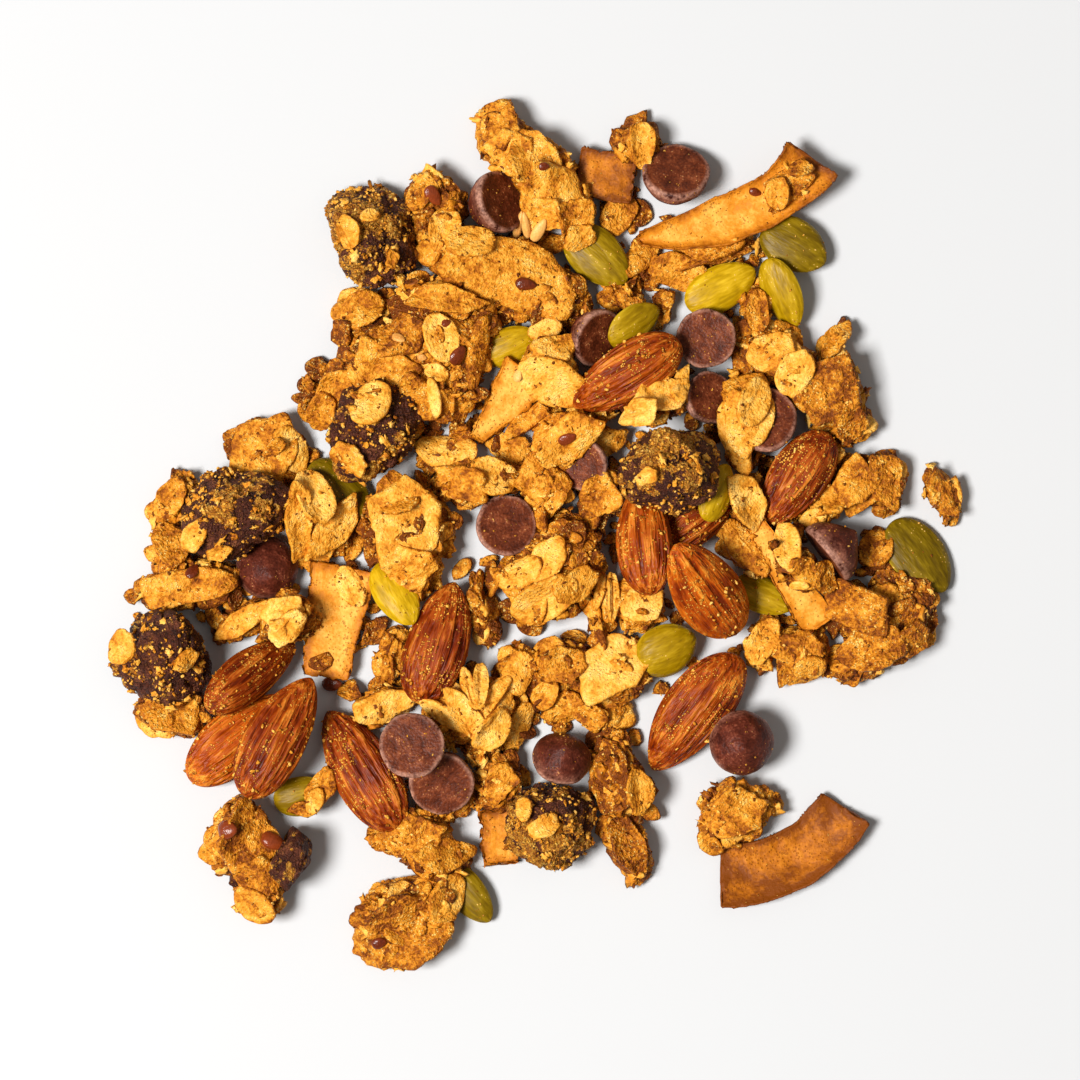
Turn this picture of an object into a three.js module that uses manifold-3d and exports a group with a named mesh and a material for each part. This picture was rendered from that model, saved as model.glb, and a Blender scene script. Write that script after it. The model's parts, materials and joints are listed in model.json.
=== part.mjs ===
// A heap of granola lying loose on a flat surface, a few layers deep in the middle.
// Millimetres, +Z up. The origin is on the surface, under the middle of the heap.
import * as THREE from "three";
import { mergeVertices } from "three/addons/utils/BufferGeometryUtils.js";
import Module from "manifold-3d";

const wasm = await Module();
wasm.setup();

// Driving sizes
const clearance = 0.35; // between a whole nut, chip or seed and the crumbly heap round it
const restGap = 0.3; // between a piece and what it rests on
const almondThick = 7.4;
const chipRadius = 5.2;
const chipHeight = 6.4;
const seedThick = 3.1;
const coconutThick = 1.2;
const coreThick = 1.4;
const crumbCount = 36;
const loss = 0.7; // how far a face of the fused heap may move when small ones are merged
const cell = 0.75; // grid used to find what a dropped piece lands on
const half = 78; // the grid reaches this far from the origin

// One seeded draw, so the heap is the same each time it is built
function seeded(seed) {
  let state = seed >>> 0;
  return () => {
    state = (state + 0x6d2b79f5) >>> 0;
    let t = Math.imul(state ^ (state >>> 15), 1 | state);
    t = (t + Math.imul(t ^ (t >>> 7), 61 | t)) ^ t;
    return ((t ^ (t >>> 14)) >>> 0) / 4294967296;
  };
}

const radians = THREE.MathUtils.degToRad;

function positionsOnly(geometry) {
  const plain = geometry.index ? geometry.toNonIndexed() : geometry.clone();
  const bare = new THREE.BufferGeometry();
  bare.setAttribute("position", plain.getAttribute("position"));
  return mergeVertices(bare, 1e-4);
}

function solid(geometry) {
  const g = positionsOnly(geometry);
  const mesh = new wasm.Mesh({
    numProp: 3,
    vertProperties: Float32Array.from(g.attributes.position.array),
    triVerts: Uint32Array.from(g.index.array),
  });
  return new wasm.Manifold(mesh);
}

function geometryOf(body) {
  const mesh = body.getMesh();
  const step = mesh.numProp;
  const points = new Float32Array(mesh.numVert * 3);
  for (let i = 0; i < mesh.numVert; i++) {
    points.set(mesh.vertProperties.subarray(i * step, i * step + 3), i * 3);
  }
  const g = new THREE.BufferGeometry();
  g.setAttribute("position", new THREE.BufferAttribute(points, 3));
  g.setIndex(new THREE.BufferAttribute(mesh.triVerts, 1));
  return g;
}

// ---- Forms, each about its own middle, long axis +X, thin axis Z ----

// A kernel that swells from a blunt end to a point: widest at `belly` of its length
function kernel(long, wide, thick, belly, point, rings, sides, ridge) {
  const power = Math.log(0.5) / Math.log(belly);
  const profile = [];
  for (let i = 0; i <= rings; i++) {
    const t = 0.5 - 0.5 * Math.cos((Math.PI * i) / rings);
    const sharp = 0.46 + point * t * t;
    const swell = i % rings === 0 ? 0 : Math.sin(Math.PI * Math.pow(t, power)) ** sharp;
    profile.push(new THREE.Vector2(swell / 2, (t - 0.5) * long));
  }
  const g = positionsOnly(new THREE.LatheGeometry(profile, sides));
  const p = g.attributes.position;
  for (let i = 0; i < p.count; i++) {
    const turn = Math.atan2(p.getZ(i), p.getX(i));
    const k = 1 - ridge * (0.5 + 0.5 * Math.cos(turn * sides * 0.5));
    p.setX(i, p.getX(i) * k);
    p.setZ(i, p.getZ(i) * k);
  }
  g.rotateZ(-Math.PI / 2);
  const q = g.attributes.position;
  for (let i = 0; i < q.count; i++) {
    q.setXYZ(i, q.getX(i), q.getY(i) * wide, q.getZ(i) * thick);
  }
  return g;
}

const almond = (long, wide) => kernel(long, wide, almondThick, 0.4, 0.26, 8, 12, 0.035);
const pumpkinSeed = (long, wide, thick) => kernel(long, wide, thick, 0.46, 0.2, 6, 8, 0);

// A drop of chocolate: flat face at the bottom, rounded rim, wall drawn up to a curled tip
function chip(scale, curl) {
  const r = chipRadius * scale;
  const h = chipHeight * scale;
  const rows = [
    [0, 0],
    [r - 0.5, 0],
    [r, 0.6],
    [r * 0.95, h * 0.3],
    [r * 0.68, h * 0.6],
    [r * 0.3, h * 0.84],
    [0, h],
  ];
  const profile = rows.map(([x, y]) => new THREE.Vector2(x, y));
  const g = positionsOnly(new THREE.LatheGeometry(profile, 10));
  g.rotateX(Math.PI / 2);
  const p = g.attributes.position;
  for (let i = 0; i < p.count; i++) {
    const up = p.getZ(i) / h;
    p.setX(i, p.getX(i) + curl * up * up * up);
  }
  g.translate(0, 0, -h * 0.4);
  return g;
}

// A chip of toasted coconut: a thin band laid along a path, `width` and `rise` given along it
function band(path, width, rise, steps, thick) {
  const points = [];
  const faces = [];
  for (let i = 0; i <= steps; i++) {
    const t = i / steps;
    const [x, y] = path(t);
    const [nx, ny] = path(Math.min(1, t + 0.01));
    const [bx, by] = path(Math.max(0, t - 0.01));
    const run = Math.hypot(nx - bx, ny - by);
    const side = [-(ny - by) / run, (nx - bx) / run];
    for (const s of [-1, 0, 1]) {
      const w = (s * width(t)) / 2;
      const z = rise(t, s);
      points.push([x + side[0] * w, y + side[1] * w, z - thick / 2]);
      points.push([x + side[0] * w, y + side[1] * w, z + thick / 2]);
    }
  }
  const at = (i, s, top) => (i * 3 + s) * 2 + top;
  const quad = (a, b, c, d) => faces.push(a, b, c, a, c, d);
  for (let i = 0; i < steps; i++) {
    for (const s of [0, 1]) {
      quad(at(i, s, 1), at(i + 1, s, 1), at(i + 1, s + 1, 1), at(i, s + 1, 1));
      quad(at(i, s, 0), at(i, s + 1, 0), at(i + 1, s + 1, 0), at(i + 1, s, 0));
    }
    quad(at(i, 0, 0), at(i + 1, 0, 0), at(i + 1, 0, 1), at(i, 0, 1));
    quad(at(i, 2, 0), at(i, 2, 1), at(i + 1, 2, 1), at(i + 1, 2, 0));
  }
  for (const s of [0, 1]) {
    quad(at(0, s, 0), at(0, s, 1), at(0, s + 1, 1), at(0, s + 1, 0));
    quad(at(steps, s, 0), at(steps, s + 1, 0), at(steps, s + 1, 1), at(steps, s, 1));
  }
  const g = new THREE.BufferGeometry();
  g.setAttribute("position", new THREE.Float32BufferAttribute(points.flat(), 3));
  g.setIndex(faces);
  return g;
}

// A knobbly lump, `rough` as a share of its size
function lump(long, wide, high, rough, detail, seed) {
  const draw = seeded(seed);
  const knobs = [];
  for (let i = 0; i < 9; i++) {
    const knob = new THREE.Vector3(draw() - 0.5, draw() - 0.5, draw() - 0.5);
    knobs.push([knob.normalize(), draw() < 0.6 ? 1 : -0.8]);
  }
  const g = positionsOnly(new THREE.IcosahedronGeometry(1.04, detail));
  const p = g.attributes.position;
  const v = new THREE.Vector3();
  for (let i = 0; i < p.count; i++) {
    v.fromBufferAttribute(p, i);
    let swell = 1;
    for (const [knob, sign] of knobs) {
      swell += sign * rough * Math.max(0, v.dot(knob) - 0.55) * 2.2;
    }
    p.setXYZ(i, v.x * swell * long * 0.5, v.y * swell * wide * 0.5, v.z * swell * high * 0.5);
  }
  return g;
}

// A rolled oat: a thin oval with a sharp rim, its crease left to the surface
function flake(long, wide, thick) {
  const profile = [
    [0, -0.5],
    [0.4, -0.4],
    [0.5, 0],
    [0.4, 0.4],
    [0, 0.5],
  ].map(([x, y]) => new THREE.Vector2(x, y));
  const g = positionsOnly(new THREE.LatheGeometry(profile, 7));
  g.rotateX(Math.PI / 2);
  const p = g.attributes.position;
  for (let i = 0; i < p.count; i++) {
    p.setXYZ(i, p.getX(i) * long, p.getY(i) * wide, p.getZ(i) * thick);
  }
  return g;
}

// ---- Laying the pieces: each is turned, then lowered on to what is already there ----

const cells = Math.ceil((2 * half) / cell);
const ground = new Float32Array(cells * cells);

function surfacePoints(geometry) {
  const g = positionsOnly(geometry);
  const p = g.attributes.position;
  const points = [];
  const [a, b, c] = [new THREE.Vector3(), new THREE.Vector3(), new THREE.Vector3()];
  for (let i = 0; i < g.index.count; i += 3) {
    a.fromBufferAttribute(p, g.index.getX(i));
    b.fromBufferAttribute(p, g.index.getX(i + 1));
    c.fromBufferAttribute(p, g.index.getX(i + 2));
    const n = Math.ceil(Math.max(a.distanceTo(b), b.distanceTo(c), c.distanceTo(a)) / 0.5);
    for (let u = 0; u <= n; u++) {
      for (let v = 0; v <= n - u; v++) {
        const w = n - u - v;
        points.push([
          (a.x * u + b.x * v + c.x * w) / n,
          (a.y * u + b.y * v + c.y * w) / n,
          (a.z * u + b.z * v + c.z * w) / n,
        ]);
      }
    }
  }
  return points;
}

const cellOf = (x, y) => {
  const i = Math.min(cells - 1, Math.max(0, Math.floor((x + half) / cell)));
  const j = Math.min(cells - 1, Math.max(0, Math.floor((y + half) / cell)));
  return j * cells + i;
};

function pile(geometry) {
  for (const [x, y, z] of surfacePoints(geometry)) {
    const k = cellOf(x, y);
    ground[k] = Math.max(ground[k], z);
  }
}

// How far a set of points can go down before one of them touches
function fall(points) {
  let drop = Infinity;
  for (const [x, y, z] of points) {
    const under = ground[cellOf(x, y)];
    drop = Math.min(drop, z - under - (under > 0 ? restGap : 0));
  }
  return drop;
}

// A piece comes to rest leaning whichever way, up to `sway` degrees, brings it lowest
function settle(geometry, sway) {
  geometry.computeBoundingBox();
  const middle = geometry.boundingBox.getCenter(new THREE.Vector3());
  const points = surfacePoints(geometry).map((p) => new THREE.Vector3(...p).sub(middle));
  const best = { drop: -Infinity };
  const steps = sway > 0 ? [-1, -0.66, -0.33, 0, 0.33, 0.66, 1] : [0];
  for (const a of steps) {
    for (const b of steps) {
      const lean = new THREE.Euler(radians(a * sway), radians(b * sway), 0);
      const turned = points.map((p) => {
        const q = p.clone().applyEuler(lean).add(middle);
        return [q.x, q.y, q.z];
      });
      const drop = fall(turned) - 0.004 * (a * a + b * b);
      if (drop > best.drop) Object.assign(best, { drop, lean, turned });
    }
  }
  const down = fall(best.turned);
  geometry.translate(-middle.x, -middle.y, -middle.z);
  geometry.applyMatrix4(new THREE.Matrix4().makeRotationFromEuler(best.lean));
  geometry.translate(middle.x, middle.y, middle.z - down);
  pile(geometry);
  return geometry;
}

const group = new THREE.Group();
const toppings = [];

function look(colour, roughness) {
  const made = new THREE.MeshStandardMaterial({ metalness: 0, roughness });
  made.color.set(colour);
  return made;
}

function addNode(name, geometry, colour, roughness) {
  const mesh = new THREE.Mesh(geometry, look(colour, roughness));
  mesh.name = name;
  group.add(mesh);
  return mesh;
}

function addTopping(name, geometry, colour, roughness, sway) {
  settle(geometry, sway);
  toppings.push(geometry);
  addNode(name, geometry, colour, roughness);
}

// ---- Core: a low crumbly bed under the heap, made of discs [x, y, radius] ----
const mounds = [
  [-18, 30, 10],
  [-5, 44, 10],
  [-1, 57, 8],
  [-14, 53, 5],
  [10, 58, 7],
  [15, 64, 4],
  [13, 50, 8],
  [26, 48, 8],
  [37, 46, 7],
  [15, 40, 8],
  [34, 38, 5],
  [3, 30, 9],
  [15, 29, 8],
  [24, 20, 9],
  [38, 27, 9],
  [48, 23, 6],
  [-12, 15, 9],
  [4, 15, 9],
  [17, 9, 9],
  [31, 9, 9],
  [45, 8, 7],
  [55, 8, 4],
  [-21, 1, 8],
  [-9, -8, 6],
  [2, -6, 9],
  [16, -5, 9],
  [28, -9, 7],
  [42, -5, 8],
  [54, -6, 6],
  [55, -16, 7],
  [43, -17, 6],
  [33, -16, 6],
  [22, -20, 6],
  [10, -21, 8],
  [-4, -25, 8],
  [-13, -27, 7],
  [-9, -35, 6],
  [4, -33, 6],
  [12, -33, 5],
  [-19, -44, 6],
  [-14, -38, 5],
  [-19, -23, 6],
  [-26, -26, 6],
  [-27, -17, 6],
  [-34, -17, 6],
  [-26, -8, 5],
  [-34, -3, 5],
  [-37, 5, 5],
  [-41, 12, 5],
  [-35, -9, 4],
  [-44, -12, 6],
  [-39, -14, 5],
  [-60, -13, 5],
  [-61, -20, 5],
  [-54, 1, 7],
  [-58, -9, 5],
  [-63, -16, 4],
  [-61, -24, 5],
  [-31, 23, 7],
  [-51, -12, 5],
];

function mound(x, y, r) {
  const g = positionsOnly(new THREE.CylinderGeometry(r * 0.96, r * 0.96, coreThick, 6));
  g.rotateX(Math.PI / 2);
  g.rotateZ(x + y);
  g.translate(x, y, coreThick / 2);
  return g;
}

const core = mounds.map((row) => mound(...row));
core.forEach(pile);

// ---- Whole pieces, lowest first. Turn is the way the pointed end looks, from +X ----

function lay(geometry, x, y, turn, tilt = 0, roll = 0) {
  geometry.rotateX(radians(roll));
  geometry.rotateY(radians(-tilt));
  geometry.rotateZ(radians(turn));
  geometry.translate(x, y, 0);
  return geometry;
}

// name, x, y, long, wide, turn, tilt, roll
function layAlmond(name, x, y, long, wide, turn, tilt = 0, roll = 0) {
  const piece = lay(almond(long, wide), x, y, turn, tilt, roll);
  addTopping("almond_" + name, piece, 0xa5562c, 0.55, 24);
}

// name, x, y, scale, lean: the flat face leans from straight down towards `turn` by `lean`
function layChip(name, x, y, scale, turn, lean, curl = 0.8) {
  const piece = chip(scale, curl);
  piece.rotateY(radians(-lean));
  piece.rotateZ(radians(turn));
  piece.translate(x, y, 0);
  addTopping("chip_" + name, piece, 0x5a3028, 0.6, 9);
}

function laySeed(name, x, y, long, wide, turn, tilt = 0, roll = 0, thick = seedThick) {
  const piece = lay(pumpkinSeed(long, wide, thick), x, y, turn, tilt, roll);
  addTopping("pumpkin_seed_" + name, piece, 0x9a9a2a, 0.5, 30);
}

function layCocoa(name, x, y, long, wide, high, turn, seed, ...stuck) {
  const ball = solid(lump(long, wide, high, 0.12, 2, seed));
  const whole = stuck.reduce((body, piece) => body.add(solid(piece)), ball);
  const piece = lay(geometryOf(whole), x, y, turn);
  addTopping("cocoa_cluster_" + name, piece, 0x4c2e1c, 0.85, 18);
}

function layCoconut(name, piece, x = 0, y = 0, turn = 0, tilt = 0, roll = 0) {
  lay(piece, x, y, turn, tilt, roll);
  addTopping("coconut_" + name, piece, 0xc8873c, 0.75, 15);
}

const straight = (long) => (t) => [(t - 0.5) * long, 0];
const between = (a, b, t) => a + (b - a) * t;

// lowest layer
layAlmond("right_under", 26, 3.2, 15, 8, 35);
layAlmond("left_low", -49.6, -33, 22, 10.8, 38);
layAlmond("bottom_mid", -29.5, -38.2, 23, 11.4, 122, 0, 8);
layAlmond("centre_left", -17.2, -17, 21, 11.2, 72, 0, 6);
layAlmond("centre_low", 25.8, -28.7, 24, 12, 233, 0, -4);
layAlmond("right_upper", 42.7, 10, 18.6, 10.4, 236);
layChip("low_left", -16.3, -39.6, 1.04, 240, 168);
layChip("left", -45.3, -4.6, 1.0, 300, 8, 1.9);
layChip("low_mid", 3.9, -35.2, 0.94, 250, 50, 1.3);
layChip("low_right", 33.8, -34, 1.04, 180, 0, 0.6);
layChip("right", 49.2, -1, 1.05, 219, 82, 1.6);
layChip("top_right", 22.5, 59.7, 1.08, 90, 142);
layChip("hidden_mid", 7.6, 13, 0.86, 200, 165);
layChip("hidden_right", 27.6, 23.2, 0.86, 20, 165);
layChip("upper_mid", 8.4, 34.2, 0.95, 330, 126);
layChip("top_left", -8.2, 55.6, 1.0, 18, 122, 1.5);
laySeed("top", 9.5, 47.2, 13, 8.4, -42);
laySeed("top_right", 42.2, 49, 12, 8.6, -30);
laySeed("upper_slim", 40.2, 41, 12.6, 7, -65, 0, 58);
laySeed("upper_mid", -4.9, 32.2, 10, 6.4, 22);
laySeed("left", -33.2, 8.4, 13, 8, -40);
laySeed("right", 63, -2.7, 14.6, 9.4, -52);
laySeed("low_left", -39.6, -42.6, 9.6, 6.6, 12);
laySeed("low", -12.1, -58.8, 12, 6.4, -50, 0, 25);
laySeed("low_right", 37, -9.2, 10.6, 6, -24);
laySeed("mid_right", 30, 41.9, 13, 7.4, 28, 6);
laySeed("slim", 29.2, 7.8, 10.4, 6, 65, 0, 66);
layCocoa("top_left", -28.7, 50.2, 14, 14.6, 11, 30, 3);
layCocoa("left", -50.6, 3.5, 17, 13.4, 11, 20, 12);
const tab = flake(9, 5.4, 2.2);
tab.rotateZ(radians(25));
tab.translate(-5.2, -1.6, 0.4);
layCocoa("far_left", -61.5, -18.2, 14, 14, 10.5, 0, 21, tab);
layCocoa("upper_left", -28.6, 17.6, 18, 12.6, 9.5, 70, 35);

const arc = (t) => {
  const a = radians(between(-92, -31, t));
  return [30.8 + 23.4 * Math.cos(a), -32.5 + 23.4 * Math.sin(a)];
};
const dished = (t, s) => 1.1 * s * s + 0.8 * (2 * t - 1) ** 2;
layCoconut("arc", band(arc, (t) => 10.6 - t, dished, 10, coconutThick));
layCoconut("square", band(straight(9.5), () => 8, () => 0, 3, coconutThick), 11, 60.6, -8);
layCoconut("base_low", band(straight(9), () => 5.8, () => 0, 3, coconutThick), -6.8, -49.4, 95);
const trapeze = band(straight(18.6), (t) => between(7.4, 11, t), (t) => t * t, 5, coconutThick);
layCoconut("trapeze", trapeze, -34.2, -13.6, 80, 4, 0);
const wedge = band(straight(14), (t) => between(2.6, 9.6, t), (t) => 1.4 * t * t, 5, coconutThick);
layCoconut("wedge", wedge, -6.2, 22.2, 52, 6, 0);

// upper layer, on what lies below
laySeed("centre", 21, -18.2, 10.8, 8.6, 25, 4, 0, 5);
laySeed("centre_left", -23.9, -8.9, 12, 7, -60, 0, 12);
laySeed("upper_right", 15.6, 35.6, 10.4, 7, 25);
layCocoa("low", 0.6, -47.6, 13, 13, 10.6, 10, 44);
layChip("centre", -6, 2, 0.98, 0, 180);
layChip("upper_right", 27.5, 33.4, 0.95, 130, 168);
layChip("mid_right", 37, 19.4, 1.06, 40, 172);
layChip("low_left_top", -20.9, -34.2, 1.04, 0, 178);
layAlmond("left_upper", -47.8, -22.3, 20, 8.8, 43, 0, 40);
layAlmond("left_top", -43.2, -32.6, 22.5, 11.2, 61, 4);
layAlmond("upper", 14.3, 27.4, 20.8, 10.6, 212, 5);
layAlmond("centre_upright", 17.4, 0.2, 19, 10.2, 95, 0);
layCocoa("centre", 21.4, 11.8, 15.2, 14.6, 12, 15, 52);
layAlmond("centre_right", 27.3, -7.7, 22.4, 11.8, 124, 4);
const slimBow = (t) => 1.6 * Math.sin(Math.PI * t);
const slim = band(straight(20), (t) => 5.6 - 2 * t * t, slimBow, 6, coconutThick);
const oats = lump(13, 6.4, 4.4, 0.16, 1, 78);
oats.translate(1, -2.6, 3);
layCoconut("slim", geometryOf(solid(slim).add(solid(oats))), 41, -6, 122, 0, -18);
const longPath = (t) => [
  16.4 * (1 - t) ** 2 + 66 * t * (1 - t) + 48.4 * t * t,
  50 * (1 - t) ** 2 + 92 * t * (1 - t) + 61.6 * t * t,
];
const leaf = (t) => 1.2 + 7.4 * Math.min(1, 2.6 * t) ** 0.7;
const ribbon = solid(band(longPath, leaf, (t, s) => 1.2 * s * s + 2 * t, 9, coconutThick));
const knob = lump(9, 6.4, 5, 0.16, 1, 77);
knob.rotateZ(radians(40));
knob.translate(41, 57.8, 3.6);
layCoconut("long", geometryOf(ribbon.add(solid(knob))));

// ---- The crumbly oat clusters, fused into one uneven heap ----
// k lump or f flake, x, y, long, wide, high, turn, how far its underside is lifted
const clusters = [
  // upper left to upper right edge
  ["k", -17.3, 54.2, 15, 9.6, 7, 95, 0],
  ["k", -5.8, 66.4, 12, 9, 6, 120, 0],
  ["k", 0.2, 60.8, 14, 11.4, 7, 135, 0],
  ["k", 5, 55.6, 13, 8, 5.5, 120, 0],
  ["f", -5.2, 69.8, 6, 4.4, 2, 100, 1.5],
  ["f", -11.5, 49.6, 8, 5, 2.4, 10, 1.5],
  ["k", 16.4, 65.6, 8.4, 7.4, 5, 100, 0],
  ["f", 13.2, 54.3, 8, 6, 2.2, 60, 1.4],
  ["f", 16.6, 46.8, 9, 5, 3, 50, 0.4],
  ["k", 29, 47.6, 17, 5, 4, 12, 0.6],
  ["f", 22.9, 44.6, 9.6, 6.4, 2, -20, 0.6],
  // long pale slab and the pieces under it
  ["k", -4, 43.6, 27.5, 11.6, 5.4, -22, 0.8],
  ["f", -11.6, 46.6, 9, 6, 2.4, 20, 5],
  ["k", 13.4, 40.2, 8.6, 5.6, 4.5, 0, 0],
  ["k", 20.4, 38.4, 7, 4, 4, 80, 0],
  ["k", 36.2, 38.4, 9, 5.4, 5, 88, 0],
  // big cluster, upper left
  ["k", -25.8, 31.4, 15, 13, 9, 20, 0],
  ["k", -16.8, 35.2, 15, 13, 9, 60, 0],
  ["k", -17, 26, 14, 12, 9, 0, 0],
  ["k", -23, 24.6, 12, 10, 7, 30, 0.6],
  ["k", -10.6, 32.8, 17, 5, 7, 76, 0.6],
  ["f", -16.6, 33.2, 8, 6.4, 2.4, 70, 7.6],
  ["f", -27, 33.4, 8.6, 6.4, 2.4, 30, 7.4],
  ["k", -16.4, 40.4, 15, 5, 4.6, -14, 4],
  ["f", -35.8, 25.6, 11, 7, 2.6, 38, 0.8],
  ["k", -29.6, 38, 9.6, 6.6, 3.6, 15, 0],
  ["f", -32.6, 29, 9, 6.4, 2.6, 60, 1.6],
  ["f", -36.5, 21.8, 8, 5, 2.4, 70, 0.5],
  // middle, over the almond and the dark chips
  ["f", 2.4, 25.8, 11.4, 8.6, 3, -18, 8.6],
  ["k", 1.2, 29.4, 10, 8, 9, 20, 1],
  ["f", 1.6, 32.4, 9.4, 6.4, 3.6, -8, 5.4],
  ["k", 4.4, 16.6, 11, 8.4, 6, 32, 2],
  ["k", -11.2, 10.2, 15.6, 7.8, 7, 5, 0],
  ["f", -15.4, 15.2, 9.6, 6, 3, 0, 2.4],
  ["k", 1.4, 9.2, 10, 8, 7, 60, 0],
  ["k", 10.4, 8, 9, 8.4, 7, 80, 0],
  ["k", 9.6, 21.6, 8, 5, 4, 10, 2.4],
  ["k", 18.8, 23, 12.6, 7.6, 10, 10, 0],
  ["k", 33.4, 19.2, 15, 6, 7, 98, 0.5],
  ["k", 38.6, 31.4, 10, 8, 6, 10, 0],
  ["k", 42.4, 27.8, 9, 7, 7, 70, 0.5],
  ["k", 48.4, 24.6, 13, 11, 7, 60, 0],
  ["k", 51.6, 19.6, 8.4, 7, 6, 100, 0],
  ["f", 49.3, 33.4, 8.6, 4.4, 2.4, 62, 1.4],
  ["k", 47.2, 13.4, 8, 6, 5, 40, 0],
  ["f", 52.2, 9.6, 8.8, 6.4, 3, 80, 1.4],
  ["k", 57.4, 9.8, 10, 7.4, 5, 100, 0],
  ["k", 46.4, 4.6, 9, 5.4, 4, 20, 1],
  ["k", 34.2, 6.3, 10, 6.2, 5, 80, 2.4],
  ["k", 34.4, -1.4, 11.5, 6.4, 8, -48, 0],
  // left
  ["k", -46.2, 15.2, 11.6, 10.4, 4.6, 50, 0],
  ["f", -41.4, 14.6, 8.6, 5.6, 2.6, -20, 2.8],
  ["k", -36.4, 1.6, 17, 8.4, 3.4, 62, 0.8],
  ["f", -38.2, 6.8, 10, 6.6, 3, 78, 3.6],
  ["k", -21.8, 2.6, 15, 15, 9, 90, 0],
  ["k", -21.4, -4.4, 10, 11, 8, 60, 0],
  ["k", -60.8, 6.6, 10, 6.6, 5, 60, 0],
  ["k", -61.2, -1, 9.6, 7, 5, 110, 0],
  ["k", -58.4, -7.4, 18, 8.6, 6, 12, 0],
  ["k", -49.4, -13.2, 12.6, 4.8, 5, 35, 0],
  ["k", -41.6, -12.8, 10.4, 8, 10, 20, 0],
  ["k", -61.2, -28, 12.8, 9.4, 6, -14, 0],
  // centre
  ["k", -4, 4, 8, 7, 3, 40, 0],
  ["k", 2, -5, 19, 15, 9, 70, 0],
  ["f", 6.6, -1.8, 11, 6.4, 3, 60, 7],
  ["f", -3.4, -5.4, 10, 6, 3, 20, 6.8],
  ["k", 10.2, -11.6, 12, 4.6, 6, 92, 0],
  ["k", -10, -11.6, 13, 4.2, 6, 102, 0],
  ["k", 17, -10.6, 9.8, 8.2, 4.6, 80, 1.5],
  ["k", -3.4, -21.6, 9.4, 6, 6, 76, 0],
  ["k", 3.8, -20.6, 9.4, 8.4, 7, 30, 0],
  ["k", 12.8, -21.8, 13, 11, 6.4, 40, 0],
  ["k", 11, -28.6, 8, 6, 4, 10, 0],
  ["k", -26.4, -27.6, 11.6, 6.4, 6, 15, 0],
  ["k", -24.4, -19.6, 10, 5, 5, 80, 0],
  ["k", -11.8, -28.6, 14, 10, 7, 30, 0],
  ["k", -9.4, -33.6, 8, 6, 6, 100, 0],
  ["f", -15.4, -26, 9, 5, 2.4, 160, 6],
  ["f", -7.4, -26.8, 9.4, 5, 2.4, 60, 6],
  // lower edge
  ["k", -21.4, -48.4, 13.2, 7.8, 7, 10, 0],
  ["k", -14.6, -43.6, 8, 6, 4, 30, 0],
  ["k", -7, -40.6, 9.4, 8.4, 6, 60, 0],
  ["k", 13, -40.4, 15, 8.4, 6.4, -74, 0],
  ["k", 14.8, -50.8, 13, 7, 5.4, -64, 0],
  // right
  ["k", 43.4, -19.2, 9.6, 9, 6, 40, 0],
  ["k", 37.2, -16.8, 10.4, 5.6, 5, 76, 0],
  ["f", 56.6, -1.6, 8.6, 6.4, 3, 80, 1],
  ["k", 60.6, -9.6, 12.6, 9, 6, 160, 0],
  ["k", 54.4, -13.6, 13, 10, 7, 130, 0],
  ["k", 53, -20.6, 11.4, 6.6, 5, 12, 0],
  ["k", 63.4, -13.8, 8, 6, 4.6, 60, 0],
];

function clusterPiece([kind, x, y, long, wide, high, turn, lift], i) {
  const fine = long > 14.5 ? 1 : 0;
  const piece = kind === "k" ? lump(long, wide, high, 0.16, fine, 100 + i) : flake(long, wide, high);
  if (kind === "f") lay(piece, 0, 0, 0, (i % 5) * 3 - 6, (i % 3) * 5 - 5);
  piece.rotateZ(radians(turn));
  piece.translate(x, y, high * (lift > 0 ? 0.5 : 0.42) + lift);
  return piece;
}

function fused(pieces) {
  const made = pieces.map((piece) => solid(piece));
  return wasm.Manifold.union(made).asOriginal().simplify(loss);
}

function largest(body) {
  const parts = body.decompose().sort((a, b) => b.volume() - a.volume());
  return parts[0];
}

const swollen = (geometry) => {
  const g = positionsOnly(geometry);
  g.computeVertexNormals();
  const p = g.attributes.position;
  const n = g.attributes.normal;
  for (let i = 0; i < p.count; i++) {
    const k = clearance * 2.1;
    p.setXYZ(i, p.getX(i) + n.getX(i) * k, p.getY(i) + n.getY(i) * k, p.getZ(i) + n.getZ(i) * k);
  }
  return solid(g).simplify(0.5);
};

const pocketsOf = (pieces) => wasm.Manifold.union(pieces.map(swollen)).asOriginal();

function trimmed(body) {
  const cut = body.trimByPlane([0, 0, 1], 0).subtract(pocketsOf(toppings));
  return geometryOf(largest(largest(cut).asOriginal().simplify(loss / 3)));
}

// Clusters that lie clear of the heap
const apart = {
  low_left_cluster: [
    ["k", -49.6, -49, 14, 11, 8, 60, 0],
    ["k", -46.4, -56.6, 12, 9.4, 7, 110, 0],
    ["f", -47.4, -60.4, 8, 6, 3, 140, 0.6],
    ["f", -54, -47.4, 8, 5, 3, 120, 1],
  ],
  low_cluster: [
    ["k", -17.2, -53.6, 12, 6.4, 6, 0, 0],
    ["k", -23.4, -63.4, 18, 13, 6, 32, 0],
    ["k", -18.2, -59.4, 12, 8, 7, 20, 0],
    ["f", -15.6, -59.6, 9, 6.4, 3, 50, 4],
  ],
  low_right_cluster: [
    ["k", 32.6, -45, 14, 9.4, 7, 20, 0],
    ["k", 30.6, -48.4, 9, 6, 5, 30, 0],
  ],
  right_crumb: [["k", 67, 7.6, 10, 5, 4.4, 122, 0]],
};
Object.entries(apart).forEach(([name, rows], n) => {
  const made = trimmed(fused(rows.map((row, i) => clusterPiece(row, 20 * n + i))));
  toppings.push(made);
  addNode(name, made, 0xc88a3e, 0.85);
});

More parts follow.
